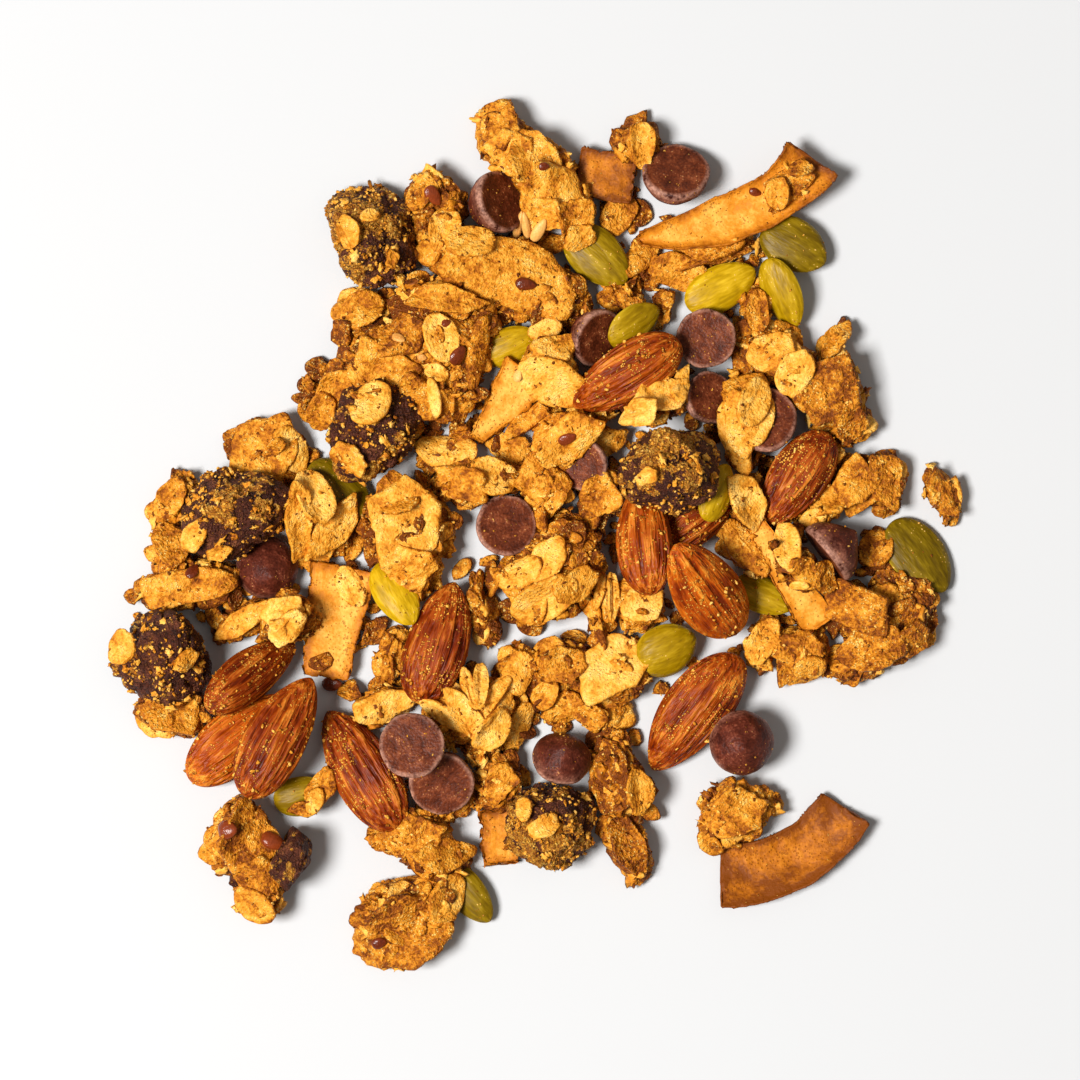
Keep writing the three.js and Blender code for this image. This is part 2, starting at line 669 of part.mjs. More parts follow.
// Small oats and crumbs fill the hollows between them, wherever the bed still lies bare
const crumbs = [];
const laid = clusters.map(clusterPiece);
laid.forEach(pile);
const scatter = seeded(7);
for (let i = 0; i < 900 && crumbs.length < crumbCount; i++) {
  const [mx, my, mr] = mounds[Math.floor(scatter() * mounds.length)];
  const turn = scatter() * 2 * Math.PI;
  const x = mx + mr * 0.75 * Math.sqrt(scatter()) * Math.cos(turn);
  const y = my + mr * 0.75 * Math.sqrt(scatter()) * Math.sin(turn);
  const size = 5 + 3.4 * scatter();
  const bare = [0, 1, 2, 3].every((k) => {
    const [dx, dy] = [Math.cos(k * 1.571) * size * 0.3, Math.sin(k * 1.571) * size * 0.3];
    return ground[cellOf(x + dx, y + dy)] < coreThick + 0.5;
  });
  if (!bare) continue;
  const crumb = scatter() < 0.5 ? flake(size, size * 0.7, 2.6) : lump(size, size * 0.7, 4, 0.2, 0, i);
  lay(crumb, x, y, (turn * 180) / Math.PI, 12 * scatter() - 6, 10 * scatter() - 5);
  crumb.translate(0, 0, coreThick + 0.8);
  pile(crumb);
  crumbs.push(crumb);
}

const heap = trimmed(fused([...core, ...laid, ...crumbs]));
addNode("oat_heap", heap, 0xc88a3e, 0.85);

export default group;
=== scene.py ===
import json
import math
import random

import bmesh
import bpy
import numpy as np
from mathutils import Matrix, Vector, noise
from mathutils.bvhtree import BVHTree

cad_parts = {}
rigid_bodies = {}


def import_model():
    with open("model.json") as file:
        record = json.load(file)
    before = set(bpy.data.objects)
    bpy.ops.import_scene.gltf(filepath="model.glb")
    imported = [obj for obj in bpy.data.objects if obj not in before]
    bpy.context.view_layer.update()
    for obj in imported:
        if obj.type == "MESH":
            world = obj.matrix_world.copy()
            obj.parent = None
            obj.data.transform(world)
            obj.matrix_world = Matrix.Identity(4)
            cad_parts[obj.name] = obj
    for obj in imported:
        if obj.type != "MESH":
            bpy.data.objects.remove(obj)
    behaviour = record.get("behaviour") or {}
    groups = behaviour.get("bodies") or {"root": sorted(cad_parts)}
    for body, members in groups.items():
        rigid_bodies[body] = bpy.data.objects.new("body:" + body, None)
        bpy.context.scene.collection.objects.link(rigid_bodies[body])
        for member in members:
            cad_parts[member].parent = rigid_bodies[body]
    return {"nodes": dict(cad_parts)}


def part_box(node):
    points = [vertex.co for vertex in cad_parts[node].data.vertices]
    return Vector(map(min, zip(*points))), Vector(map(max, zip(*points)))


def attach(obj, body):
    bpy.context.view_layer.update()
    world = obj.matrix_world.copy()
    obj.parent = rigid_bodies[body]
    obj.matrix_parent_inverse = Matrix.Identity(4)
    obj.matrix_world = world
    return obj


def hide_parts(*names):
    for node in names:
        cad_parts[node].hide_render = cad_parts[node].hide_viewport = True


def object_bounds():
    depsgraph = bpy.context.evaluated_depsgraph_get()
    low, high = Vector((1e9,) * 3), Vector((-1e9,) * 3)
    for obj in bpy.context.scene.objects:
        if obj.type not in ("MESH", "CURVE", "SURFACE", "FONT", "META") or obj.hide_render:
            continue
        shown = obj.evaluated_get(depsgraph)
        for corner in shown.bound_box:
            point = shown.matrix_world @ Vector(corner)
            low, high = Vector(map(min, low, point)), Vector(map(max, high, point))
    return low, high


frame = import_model()
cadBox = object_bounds()
mm = 0.001
photo = {"middle": 540, "perMetre": 6000}  # in its pixels, from the almonds' known length
ground = 0.05 * mm  # the lowest a point may lie
skyHigh = 60 * mm  # rays that look down start here, above everything
print("frame loaded:", len(frame["nodes"]), "pieces")

# the camera looks straight down, and the window is low at the left
view = {"height": 1.0, "width": 0.18, "sensor": 36.0}
light = {
    "window": {"place": (-0.96, -0.24, 1.76), "power": 68.0, "size": 0.6, "colour": (1.0, 0.985, 0.96)},
    "fill": {"place": (0.5, 0.3, 1.1), "power": 0.9, "size": 1.2, "colour": (1.0, 0.96, 0.91)},
    "sky": 0.2, "skyColour": (1.0, 0.96, 0.9, 1),
}
table = {"half": 2.5, "colour": (0.548, 0.556, 0.57, 1), "roughness": 0.6}


def makeCamera():
    lens = bpy.data.cameras.new("overheadCamera")
    lens.sensor_width = view["sensor"]
    lens.lens = view["sensor"] * view["height"] / view["width"]
    lens.clip_start = 0.05
    camera = bpy.data.objects.new("overheadCamera", lens)
    camera.location = (0, 0, view["height"])  # the photo's top is +Y
    bpy.context.scene.collection.objects.link(camera)
    bpy.context.scene.camera = camera


def makeLamp(name, kind):
    data = bpy.data.lights.new(name, "AREA")
    data.energy = kind["power"]
    data.size = kind["size"]
    data.color = kind["colour"]
    lamp = bpy.data.objects.new(name, data)
    lamp.location = kind["place"]
    lamp.rotation_euler = Vector(kind["place"]).to_track_quat("Z", "Y").to_euler()
    bpy.context.scene.collection.objects.link(lamp)


def makeRoom():
    makeLamp("windowLight", light["window"])
    makeLamp("softFill", light["fill"])
    world = bpy.data.worlds.new("paleRoom")
    world.use_nodes = True
    sky = world.node_tree.nodes["Background"].inputs
    sky["Color"].default_value = light["skyColour"]
    sky["Strength"].default_value = light["sky"]
    bpy.context.scene.world = world
    bpy.context.scene.view_settings.view_transform = "Standard"


def makeTable():
    bm = bmesh.new()
    bmesh.ops.create_grid(bm, x_segments=4, y_segments=4, size=table["half"])
    mesh = bpy.data.meshes.new("tableTop")
    bm.to_mesh(mesh)
    bm.free()
    top = bpy.data.objects.new("tableTop", mesh)
    bpy.context.scene.collection.objects.link(top)
    finish = bpy.data.materials.new("paleTable")
    finish.use_nodes = True
    shader = finish.node_tree.nodes["Principled BSDF"]
    shader.inputs["Base Color"].default_value = table["colour"]
    shader.inputs["Roughness"].default_value = table["roughness"]
    mesh.materials.append(finish)


makeCamera()
makeRoom()
makeTable()
print("camera, light and table ready")


def tint(r, g, b):
    # a colour as a painter reads it off a chart, 0 to 255, into linear light
    return tuple(((c / 255 + 0.055) / 1.055) ** 2.4 if c > 10 else c / 3295 for c in (r, g, b)) + (1,)


def startGroup(name, inputs, outputs):
    tree = bpy.data.node_groups.new(name, "ShaderNodeTree")
    for label, kind, value in inputs:
        socket = tree.interface.new_socket(name=label, in_out="INPUT", socket_type=kind)
        if value is not None:
            socket.default_value = value
    for label, kind in outputs:
        tree.interface.new_socket(name=label, in_out="OUTPUT", socket_type=kind)
    return tree, tree.nodes.new("NodeGroupInput"), tree.nodes.new("NodeGroupOutput")


def plug(tree, socket, value):
    if hasattr(value, "is_output"):
        tree.links.new(value, socket)
    else:
        socket.default_value = value


def add(tree, kind, sockets=None, **settings):
    node = tree.nodes.new(kind)
    for key, value in settings.items():
        setattr(node, key, value)
    for key, value in (sockets or {}).items():
        plug(tree, node.inputs[key], value)
    return node


def makeMottle():
    # soft uneven patches with a finer grain laid over them
    tree, take, give = startGroup(
        "mottle",
        [("Vector", "NodeSocketVector", None), ("Patch", "NodeSocketFloat", 300.0),
         ("Grain", "NodeSocketFloat", 1800.0), ("Share", "NodeSocketFloat", 0.4)],
        [("Value", "NodeSocketFloat")])
    vector = take.outputs["Vector"]
    big = add(tree, "ShaderNodeTexNoise",
              {"Vector": vector, "Scale": take.outputs["Patch"], "Detail": 2.0, "Roughness": 0.6})
    fine = add(tree, "ShaderNodeTexNoise",
               {"Vector": vector, "Scale": take.outputs["Grain"], "Detail": 1.5, "Roughness": 0.65})
    both = add(tree, "ShaderNodeMix",
               {"Factor": take.outputs["Share"], "A": big.outputs["Fac"], "B": fine.outputs["Fac"]})
    wide = add(tree, "ShaderNodeMapRange",
               {"Value": both.outputs["Result"], "From Min": 0.35, "From Max": 0.65})
    tree.links.new(wide.outputs["Result"], give.inputs["Value"])
    return tree


def makeSpecks():
    # tiny separate spots, thicker in some places than in others
    tree, take, give = startGroup(
        "specks",
        [("Vector", "NodeSocketVector", None), ("Scale", "NodeSocketFloat", 1200.0),
         ("Size", "NodeSocketFloat", 0.3), ("Drift", "NodeSocketFloat", 0.5)],
        [("Mask", "NodeSocketFloat")])
    cells = add(tree, "ShaderNodeTexVoronoi",
                {"Vector": take.outputs["Vector"], "Scale": take.outputs["Scale"], "Randomness": 1.0})
    thin = add(tree, "ShaderNodeMath", {0: take.outputs["Drift"], 1: 0.5}, operation="SUBTRACT")
    reach = add(tree, "ShaderNodeMath", {0: thin.outputs[0], 1: 0.55, 2: take.outputs["Size"]},
                operation="MULTIPLY_ADD")
    gap = add(tree, "ShaderNodeMath", {0: reach.outputs[0], 1: cells.outputs["Distance"]},
              operation="SUBTRACT")
    mask = add(tree, "ShaderNodeMapRange", {"Value": gap.outputs[0], "From Min": 0.0, "From Max": 0.12})
    tree.links.new(mask.outputs["Result"], give.inputs["Mask"])
    return tree


mottle = makeMottle()
specks = makeSpecks()


def startFinish(name, roughness, specular=0.4):
    finish = bpy.data.materials.new(name)
    finish.use_nodes = True
    tree = finish.node_tree
    shader = tree.nodes["Principled BSDF"]
    shader.inputs["Roughness"].default_value = roughness
    shader.inputs["Specular IOR Level"].default_value = specular
    return finish, tree, shader


def place(tree, group, **sockets):
    node = tree.nodes.new("ShaderNodeGroup")
    node.node_tree = group
    for key, value in sockets.items():
        plug(tree, node.inputs[key], value)
    return node.outputs[0]


def ramp(tree, fac, stops):
    node = add(tree, "ShaderNodeValToRGB", {"Fac": fac})
    bar = node.color_ramp.elements
    bar[0].position, bar[0].color = stops[0]
    bar[1].position, bar[1].color = stops[-1]
    for where, colour in stops[1:-1]:
        bar.new(where).color = colour
    return node.outputs["Color"]


def blendColour(tree, fac, a, b, kind="MIX"):
    node = add(tree, "ShaderNodeMix", {"Factor": fac}, data_type="RGBA", blend_type=kind)
    plug(tree, node.inputs[6], a)  # the first and second colour
    plug(tree, node.inputs[7], b)
    return node.outputs[2]


def maths(tree, operation, *values, clamp=False):
    node = add(tree, "ShaderNodeMath", dict(enumerate(values)), operation=operation, use_clamp=clamp)
    return node.outputs[0]


def bump(tree, shader, height, distance, strength=1.0):
    node = add(tree, "ShaderNodeBump", {"Height": height, "Distance": distance, "Strength": strength})
    tree.links.new(node.outputs["Normal"], shader.inputs["Normal"])


def attribute(tree, name, output):
    return add(tree, "ShaderNodeAttribute", attribute_name=name).outputs[output]


def stretched(tree, vector, scale):
    return add(tree, "ShaderNodeMapping", {"Vector": vector, "Scale": scale}).outputs["Vector"]


def makeAlmondSkin():
    finish, tree, shader = startFinish("roastedAlmondSkin", 0.42, 0.15)
    own = attribute(tree, "own", "Vector")
    tone = attribute(tree, "tone", "Fac")
    grooveShade = attribute(tree, "edge", "Fac")
    lengthwise = stretched(tree, own, (0.11, 1.0, 1.0))
    ribs = place(tree, mottle, Vector=lengthwise, Patch=750.0, Grain=2300.0, Share=0.3)
    # darker in the furrows of the skin: painted shade
    ribs = maths(tree, "MULTIPLY_ADD", grooveShade, -0.5, maths(tree, "ADD", ribs, 0.1), clamp=True)
    cloud = place(tree, mottle, Vector=own, Patch=240.0, Grain=1500.0, Share=0.3)
    skin = ramp(tree, ribs, [(0.0, tint(84, 22, 0)), (0.35, tint(126, 44, 2)), (0.7, tint(168, 74, 10)),
                             (1.0, tint(216, 128, 40))])
    warm = ramp(tree, ribs, [(0.0, tint(134, 48, 0)), (0.4, tint(186, 82, 4)), (0.75, tint(214, 112, 16)),
                             (1.0, tint(240, 156, 52))])
    base = blendColour(tree, tone, skin, warm)
    dark = blendColour(tree, cloud, tint(166, 116, 88), (1, 1, 1, 1))
    base = blendColour(tree, 0.8, base, dark, "MULTIPLY")
    dust = place(tree, specks, Vector=own, Scale=2300.0, Size=0.24, Drift=cloud)
    base = blendColour(tree, maths(tree, "MULTIPLY", dust, 0.8), base, tint(238, 170, 66))
    tree.links.new(base, shader.inputs["Base Color"])
    rough = add(tree, "ShaderNodeMapRange", {"Value": cloud, "To Min": 0.34, "To Max": 0.6})
    tree.links.new(rough.outputs["Result"], shader.inputs["Roughness"])
    bump(tree, shader, maths(tree, "MULTIPLY_ADD", dust, 0.5, ribs), 0.0004, 1.0)
    return finish


def makeChocolate():
    finish, tree, shader = startFinish("mattChocolate", 0.46, 0.14)
    own = attribute(tree, "own", "Vector")
    edge = attribute(tree, "edge", "Fac")
    face = attribute(tree, "tone", "Fac")
    cloud = place(tree, mottle, Vector=own, Patch=420.0, Grain=2400.0, Share=0.4)
    side = ramp(tree, cloud, [(0.0, tint(54, 18, 10)), (0.6, tint(90, 38, 24)), (1.0, tint(128, 66, 46))])
    flat = ramp(tree, cloud, [(0.0, tint(60, 22, 8)), (0.55, tint(96, 42, 20)), (1.0, tint(132, 68, 38))])
    base = blendColour(tree, face, side, flat)
    scuff = maths(tree, "MULTIPLY", edge, cloud, clamp=True)
    base = blendColour(tree, scuff, base, tint(196, 146, 124))
    grit = place(tree, specks, Vector=own, Scale=2000.0, Size=0.1, Drift=cloud)
    base = blendColour(tree, maths(tree, "MULTIPLY", grit, 0.7), base, tint(206, 142, 88))
    tree.links.new(base, shader.inputs["Base Color"])
    bump(tree, shader, maths(tree, "MULTIPLY_ADD", grit, 0.6, cloud), 0.00013, 0.8)
    return finish


def makeSeedSkin():
    finish, tree, shader = startFinish("pumpkinSeedSkin", 0.42, 0.16)
    own = attribute(tree, "own", "Vector")
    tone = attribute(tree, "tone", "Fac")
    edge = attribute(tree, "edge", "Fac")
    lengthwise = stretched(tree, own, (0.25, 1.0, 1.0))
    veins = place(tree, mottle, Vector=lengthwise, Patch=700.0, Grain=2200.0, Share=0.35)
    olive = ramp(tree, veins, [(0.0, tint(70, 52, 0)), (0.5, tint(92, 72, 0)), (1.0, tint(120, 96, 4))])
    bright = ramp(tree, veins, [(0.0, tint(162, 124, 0)), (0.5, tint(192, 150, 4)),
                                (1.0, tint(220, 178, 34))])
    base = blendColour(tree, tone, olive, bright)
    base = blendColour(tree, maths(tree, "MULTIPLY", edge, 0.5), base, tint(206, 176, 40))
    grit = place(tree, specks, Vector=own, Scale=1700.0, Size=0.06, Drift=veins)
    base = blendColour(tree, grit, base, tint(240, 190, 100))
    tree.links.new(base, shader.inputs["Base Color"])
    bump(tree, shader, maths(tree, "MULTIPLY_ADD", grit, 0.6, veins), 0.0001, 0.8)
    return finish


def makeCoconutFinish():
    finish, tree, shader = startFinish("toastedCoconut", 0.6, 0.2)
    own = attribute(tree, "own", "Vector")
    edge = attribute(tree, "edge", "Fac")
    tone = attribute(tree, "tone", "Fac")
    cloud = place(tree, mottle, Vector=own, Patch=240.0, Grain=1700.0, Share=0.3)
    toast = maths(tree, "MULTIPLY_ADD", cloud, 0.55, tone)
    toast = maths(tree, "SUBTRACT", toast, maths(tree, "MULTIPLY", edge, 0.5), clamp=True)
    base = ramp(tree, toast, [(0.0, tint(120, 58, 0)), (0.3, tint(178, 100, 8)), (0.6, tint(214, 134, 28)),
                              (1.0, tint(248, 184, 82))])
    dots = place(tree, specks, Vector=own, Scale=1900.0, Size=0.2, Drift=cloud)
    base = blendColour(tree, maths(tree, "MULTIPLY", dots, 0.5), base, tint(128, 58, 4))
    tree.links.new(base, shader.inputs["Base Color"])
    bump(tree, shader, maths(tree, "SUBTRACT", cloud, dots), 0.0002, 0.7)
    return finish


def makeOatFinish(name, stops, crust, relief):
    finish, tree, shader = startFinish(name, 0.6, 0.2)
    own = attribute(tree, "own", "Vector")
    tone = attribute(tree, "tone", "Fac")
    edge = attribute(tree, "edge", "Fac")
    cloud = place(tree, mottle, Vector=own, Patch=300.0, Grain=1500.0, Share=0.3)
    sand = place(tree, mottle, Vector=own, Patch=800.0, Grain=2300.0, Share=0.5)
    calm = maths(tree, "SUBTRACT", 1.4, tone)  # the palest pieces are the cleanest
    shade = maths(tree, "MULTIPLY_ADD", cloud, 0.6, maths(tree, "SUBTRACT", tone, 0.38))
    sandy = maths(tree, "MULTIPLY", maths(tree, "SUBTRACT", sand, 0.5), calm)
    shade = maths(tree, "MULTIPLY_ADD", sandy, 0.46, shade)
    # darker by the edge value: toasted rims, and in the cracks partly painted shade
    shade = maths(tree, "MULTIPLY_ADD", edge, -0.26, shade, clamp=True)
    base = ramp(tree, shade, stops)
    grit = place(tree, specks, Vector=own, Scale=1500.0, Size=0.24, Drift=maths(tree, "SUBTRACT", 1.0, cloud))
    grit = maths(tree, "MULTIPLY", grit, calm, clamp=True)
    base = blendColour(tree, maths(tree, "MULTIPLY", grit, crust), base, tint(148, 76, 8))
    apart = stretched(tree, own, (1.3, 1.3, 1.3))
    # pale specks: painted glints of light on the grain, which the bump also raises
    paintedGlint = place(tree, specks, Vector=apart, Scale=1500.0, Size=0.22, Drift=cloud)
    base = blendColour(tree, maths(tree, "MULTIPLY", paintedGlint, 0.65), base, tint(255, 210, 116))
    tree.links.new(base, shader.inputs["Base Color"])
    gloss = add(tree, "ShaderNodeMapRange", {"Value": cloud, "To Min": 0.72, "To Max": 0.44})
    tree.links.new(gloss.outputs["Result"], shader.inputs["Roughness"])
    sandy = maths(tree, "MULTIPLY", sand, calm)
    bump(tree, shader, maths(tree, "MULTIPLY_ADD", paintedGlint, 0.5, sandy), relief, 1.0)
    return finish


def makeCocoaFinish():
    finish, tree, shader = startFinish("cocoaCrumb", 0.6, 0.25)
    own = attribute(tree, "own", "Vector")
    crust = attribute(tree, "edge", "Fac")
    cloud = place(tree, mottle, Vector=own, Patch=420.0, Grain=2600.0, Share=0.4)
    sand = place(tree, mottle, Vector=own, Patch=1100.0, Grain=3200.0, Share=0.45)
    dark = ramp(tree, cloud, [(0.0, tint(34, 10, 2)), (0.5, tint(74, 32, 16)), (1.0, tint(118, 64, 40))])
    crumb = ramp(tree, sand, [(0.0, tint(116, 52, 2)), (0.35, tint(186, 112, 18)), (0.7, tint(232, 164, 50)),
                              (1.0, tint(250, 202, 100))])
    gold = place(tree, specks, Vector=own, Scale=1500.0, Size=0.42, Drift=cloud)
    spread = maths(tree, "MULTIPLY_ADD", crust, 1.5, maths(tree, "SUBTRACT", gold, 0.95), clamp=True)
    base = blendColour(tree, spread, dark, crumb)
    tree.links.new(base, shader.inputs["Base Color"])
    bump(tree, shader, maths(tree, "MULTIPLY_ADD", gold, 0.7, sand), 0.0004, 1.0)
    return finish


def makePlainGrain(name, dark, pale, roughness, specular):
    finish, tree, shader = startFinish(name, roughness, specular)
    tone = attribute(tree, "tone", "Fac")
    cloud = place(tree, mottle, Vector=attribute(tree, "own", "Vector"), Patch=900.0, Grain=3000.0, Share=0.4)
    mix = maths(tree, "MULTIPLY_ADD", cloud, 0.4, maths(tree, "SUBTRACT", tone, 0.2), clamp=True)
    tree.links.new(blendColour(tree, mix, dark, pale), shader.inputs["Base Color"])
    bump(tree, shader, cloud, 0.0001, 0.6)
    return finish


oatStops = [
    (0.0, tint(108, 50, 2)), (0.18, tint(158, 86, 6)), (0.38, tint(202, 124, 20)), (0.62, tint(230, 157, 48)),
    (0.85, tint(246, 184, 80)), (1.0, tint(252, 196, 98)),
]
crumbStops = [
    (0.0, tint(82, 34, 0)), (0.22, tint(134, 68, 2)), (0.46, tint(186, 112, 16)), (0.74, tint(230, 158, 46)),
    (1.0, tint(250, 194, 88)),
]

finishes = {
    "almond": makeAlmondSkin(),
    "chocolate": makeChocolate(),
    "seed": makeSeedSkin(),
    "coconut": makeCoconutFinish(),
    "oat": makeOatFinish("rolledOat", oatStops, 0.6, 0.00034),
    "crumb": makeOatFinish("goldenCrumb", crumbStops, 0.7, 0.00042),
    "cocoa": makeCocoaFinish(),
    "flax": makePlainGrain("flaxSeed", tint(70, 20, 4), tint(142, 60, 22), 0.26, 0.35),
    "sesame": makePlainGrain("sesameSeed", tint(190, 116, 40), tint(250, 196, 110), 0.45, 0.3),
}
print("finishes mixed:", len(finishes))


def meshFrom(bm, name, tone=0.5, keepOwn=False):
    # gives every point its own coordinates, tone and edge values, for the finishes to read
    if not keepOwn:
        own = bm.verts.layers.float_vector.get("own") or bm.verts.layers.float_vector.new("own")
        for v in bm.verts:
            v[own] = v.co
    for label, value in (("tone", tone), ("edge", 0.0)):
        if bm.verts.layers.float.get(label) is None:
            layer = bm.verts.layers.float.new(label)
            for v in bm.verts:
                v[layer] = value
    mesh = bpy.data.meshes.new(name)
    bm.to_mesh(mesh)
    bm.free()
    return mesh


def smoothShade(mesh):
    mesh.polygons.foreach_set("use_smooth", [True] * len(mesh.polygons))


def finishPiece(name, mesh, finish, slot, *nodes):
    smoothShade(mesh)
    mesh.materials.clear()
    mesh.materials.append(finishes[finish])
    piece = bpy.data.objects.new(name, mesh)
    bpy.context.scene.collection.objects.link(piece)
    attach(piece, "root")
    if nodes:
        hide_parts(*nodes)
    return piece


def shiftOwn(mesh, shift):
    # moves the pattern on, so that no two copies carry the same one
    data = mesh.attributes["own"].data
    values = np.zeros(len(data) * 3, np.float32)
    data.foreach_get("vector", values)
    data.foreach_set("vector", (values.reshape(-1, 3) + np.array(shift, np.float32)).ravel())


def setTone(mesh, tone):
    mesh.attributes["tone"].data.foreach_set("value", [tone] * len(mesh.vertices))


def pointsOf(mesh):
    flat = np.zeros(len(mesh.vertices) * 3)
    mesh.vertices.foreach_get("co", flat)
    return flat.reshape(-1, 3)


def liftOff(mesh):
    # nothing dips under the table top
    dip = pointsOf(mesh)[:, 2].min() - ground
    if dip < 0:
        mesh.transform(Matrix.Translation((0, 0, -dip)))


def cadTree(*nodes):
    # one search tree over the surfaces of these nodes
    points, faces = [], []
    for node in nodes:
        mesh = frame["nodes"][node].data
        start = len(points)
        points += [v.co.copy() for v in mesh.vertices]
        faces += [[start + i for i in p.vertices] for p in mesh.polygons]
    return BVHTree.FromPolygons(points, faces)


def kernelPose(node):
    # middle, sizes and turned axes of a long flat kernel: x runs to the pointed end, z out of the upper side
    points = pointsOf(frame["nodes"][node].data)
    middle = points.mean(0)
    axes = np.linalg.eigh(np.cov((points - middle).T))[1][:, ::-1].T
    if axes[2][2] < 0:
        axes[2] = -axes[2]
    local = (points - middle) @ axes.T
    low, high = local.min(0), local.max(0)
    middle = middle + ((low + high) / 2) @ axes
    local = local - (low + high) / 2
    reach = (high - low) / 2
    front = np.abs(local[local[:, 0] > 0.55 * reach[0]][:, 1]).mean()
    back = np.abs(local[local[:, 0] < -0.55 * reach[0]][:, 1]).mean()
    if front > back:
        axes[0] = -axes[0]
    axes[1] = np.cross(axes[2], axes[0])
    turn = Matrix([[*axes[0]], [*axes[1]], [*axes[2]]]).transposed().to_4x4()
    return Matrix.Translation(Vector(middle)) @ turn, reach * 2


def dropPose(node):
    # the flat face of a chip: its middle, radius and the way the tip curls
    mesh = frame["nodes"][node].data
    groups = []
    for p in mesh.polygons:
        for group in groups:
            if group["normal"].dot(p.normal) > 0.999:
                group["area"] += p.area
                group["faces"].append(p)
                break
        else:
            groups.append({"normal": p.normal.copy(), "area": p.area, "faces": [p]})
    flat = max(groups, key=lambda g: g["area"])
    middle = sum((p.center * p.area for p in flat["faces"]), Vector()) / flat["area"]
    up = -flat["normal"]
    points = [Vector(c) - middle for c in pointsOf(mesh)]
    tip = max(points, key=lambda c: c.dot(up))
    height = tip.dot(up)
    aside = tip - up * height
    radius = max((c - up * c.dot(up)).length for c in points if c.dot(up) < height * 0.35)
    x = aside.normalized() if aside.length > 0.0002 else up.orthogonal().normalized()
    y = up.cross(x)
    turn = Matrix((x, y, up)).transposed().to_4x4()
    return Matrix.Translation(middle) @ turn, radius, height, aside.length


def roundForm(around, along):
    # a ball with its poles on the x axis
    bm = bmesh.new()
    bmesh.ops.create_uvsphere(bm, u_segments=around, v_segments=along, radius=1.0)
    bmesh.ops.rotate(bm, cent=(0, 0, 0), matrix=Matrix.Rotation(math.pi / 2, 3, "Y"), verts=bm.verts)
    return bm


def spot(px, py):
    # a place in the photo, brought on to the table
    return (px - photo["middle"]) / photo["perMetre"], (photo["middle"] - py) / photo["perMetre"]


def wave(x, y, z, octaves=2):
    return noise.fractal(Vector((x, y, z)), 1.0, 2.0, octaves)


def plated(p, size):
    # flat plates of about this size, each at its own height and lean, and how near the crack round it is
    near, spots = noise.voronoi(p / size)
    chance = noise.cell_vector(spots[0] * 41)
    lean = (p / size - spots[0]).dot(chance - Vector((0.5, 0.5, 0.5)))
    return chance.x - 0.5 + 1.3 * lean, 1 - min(1.0, (near[1] - near[0]) * 4)


def chippedBall(seed, sides=8, tops=3):
    # the flat breaks round a lump: which way each faces and how far out it lies
    chance = random.Random(seed * 13 + 5)
    cuts = []
    for k in range(sides):
        a = (k + chance.uniform(-0.3, 0.3)) / sides * 2 * math.pi
        face = Vector((math.cos(a), math.sin(a), chance.uniform(-0.2, 0.6)))
        cuts.append((face.normalized(), chance.uniform(0.76, 1.0)))
    for k in range(tops):
        a, lean = (k + chance.random()) / tops * 2 * math.pi, chance.uniform(0.05, 0.5)
        face = Vector((math.cos(a) * lean, math.sin(a) * lean, 1))
        cuts.append((face.normalized(), chance.uniform(0.8, 0.98)))
    cuts.append((Vector((0, 0, -1)), 0.9))
    return cuts


def chipped(way, cuts):
    # how far out the broken ball reaches this way, with its edges a little worn
    total = sum(math.exp(-20 * out / way.dot(face)) for face, out in cuts if way.dot(face) > 0.2)
    return min(1.15, -math.log(max(total, 1e-12)) / 20)


def markCreases(bm, angle=0.62):
    # sharp where a break is, in radians
    for e in bm.edges:
        e.smooth = e.calc_face_angle(0.0) < angle


almonds = {
    # how orange each skin is
    "left_upper": 0.1, "left_low": 1.0, "left_top": 0.3, "bottom_mid": 0.12, "centre_left": 0.0,
    "centre_low": 0.35,
    "right_upper": 0.0, "upper": 0.45, "centre_upright": 0.55, "centre_right": 1.0, "right_under": 0.2,
}
almondForm = {"blunt": 0.5, "point": 0.66, "ribDepth": 0.26, "fineDepth": 0.17, "around": 120, "along": 40}


def almondMesh(long, wide, thick, seed):
    form = almondForm
    bm = roundForm(form["around"], form["along"])
    grooveShade = bm.verts.layers.float.new("edge")
    peak = form["blunt"] / (form["blunt"] + form["point"])
    peak = peak ** form["blunt"] * (1 - peak) ** form["point"]
    lean = math.sin(seed * 7.1) * 0.04
    for v in bm.verts:
        u = min(1.0, max(0.0, (v.co.x + 1) / 2))
        a = math.atan2(v.co.z, v.co.y)
        ring = u ** form["blunt"] * (1 - u) ** form["point"] / peak
        c, s = math.cos(a), math.sin(a)
        fade = math.sin(math.pi * min(1, u * 1.02)) ** 0.5
        rib = wave(c * 5.5 + seed * 9, s * 5.5, u * 1.3) * form["ribDepth"]
        rib += wave(c * 13 + seed * 5, s * 13, u * 3) * form["fineDepth"]
        # the edge value is how deep each furrow dips; the skin finish darkens by it: painted shade in the
        # furrows
        v[grooveShade] = min(1, max(0, -rib * 4)) * fade
        y = c * (ring * wide / 2 + rib * fade * mm)
        z = s * (ring * thick / 2 * (1 - 0.06 * abs(c)) + rib * fade * mm)
        y += math.sin(math.pi * u) * lean * wide
        v.co = ((u - 0.5) * long, y, z)
    return meshFrom(bm, "almond")


for index, (label, tone) in enumerate(almonds.items()):
    where, size = kernelPose("almond_" + label)
    mesh = almondMesh(*size, index + 1)
    setTone(mesh, tone)
    shiftOwn(mesh, (0.1 * index, 0.03 * index, 0))
    mesh.transform(where)
    liftOff(mesh)
    finishPiece("almond." + label, mesh, "almond", "almond", "almond_" + label)
print("almonds:", len(almonds))

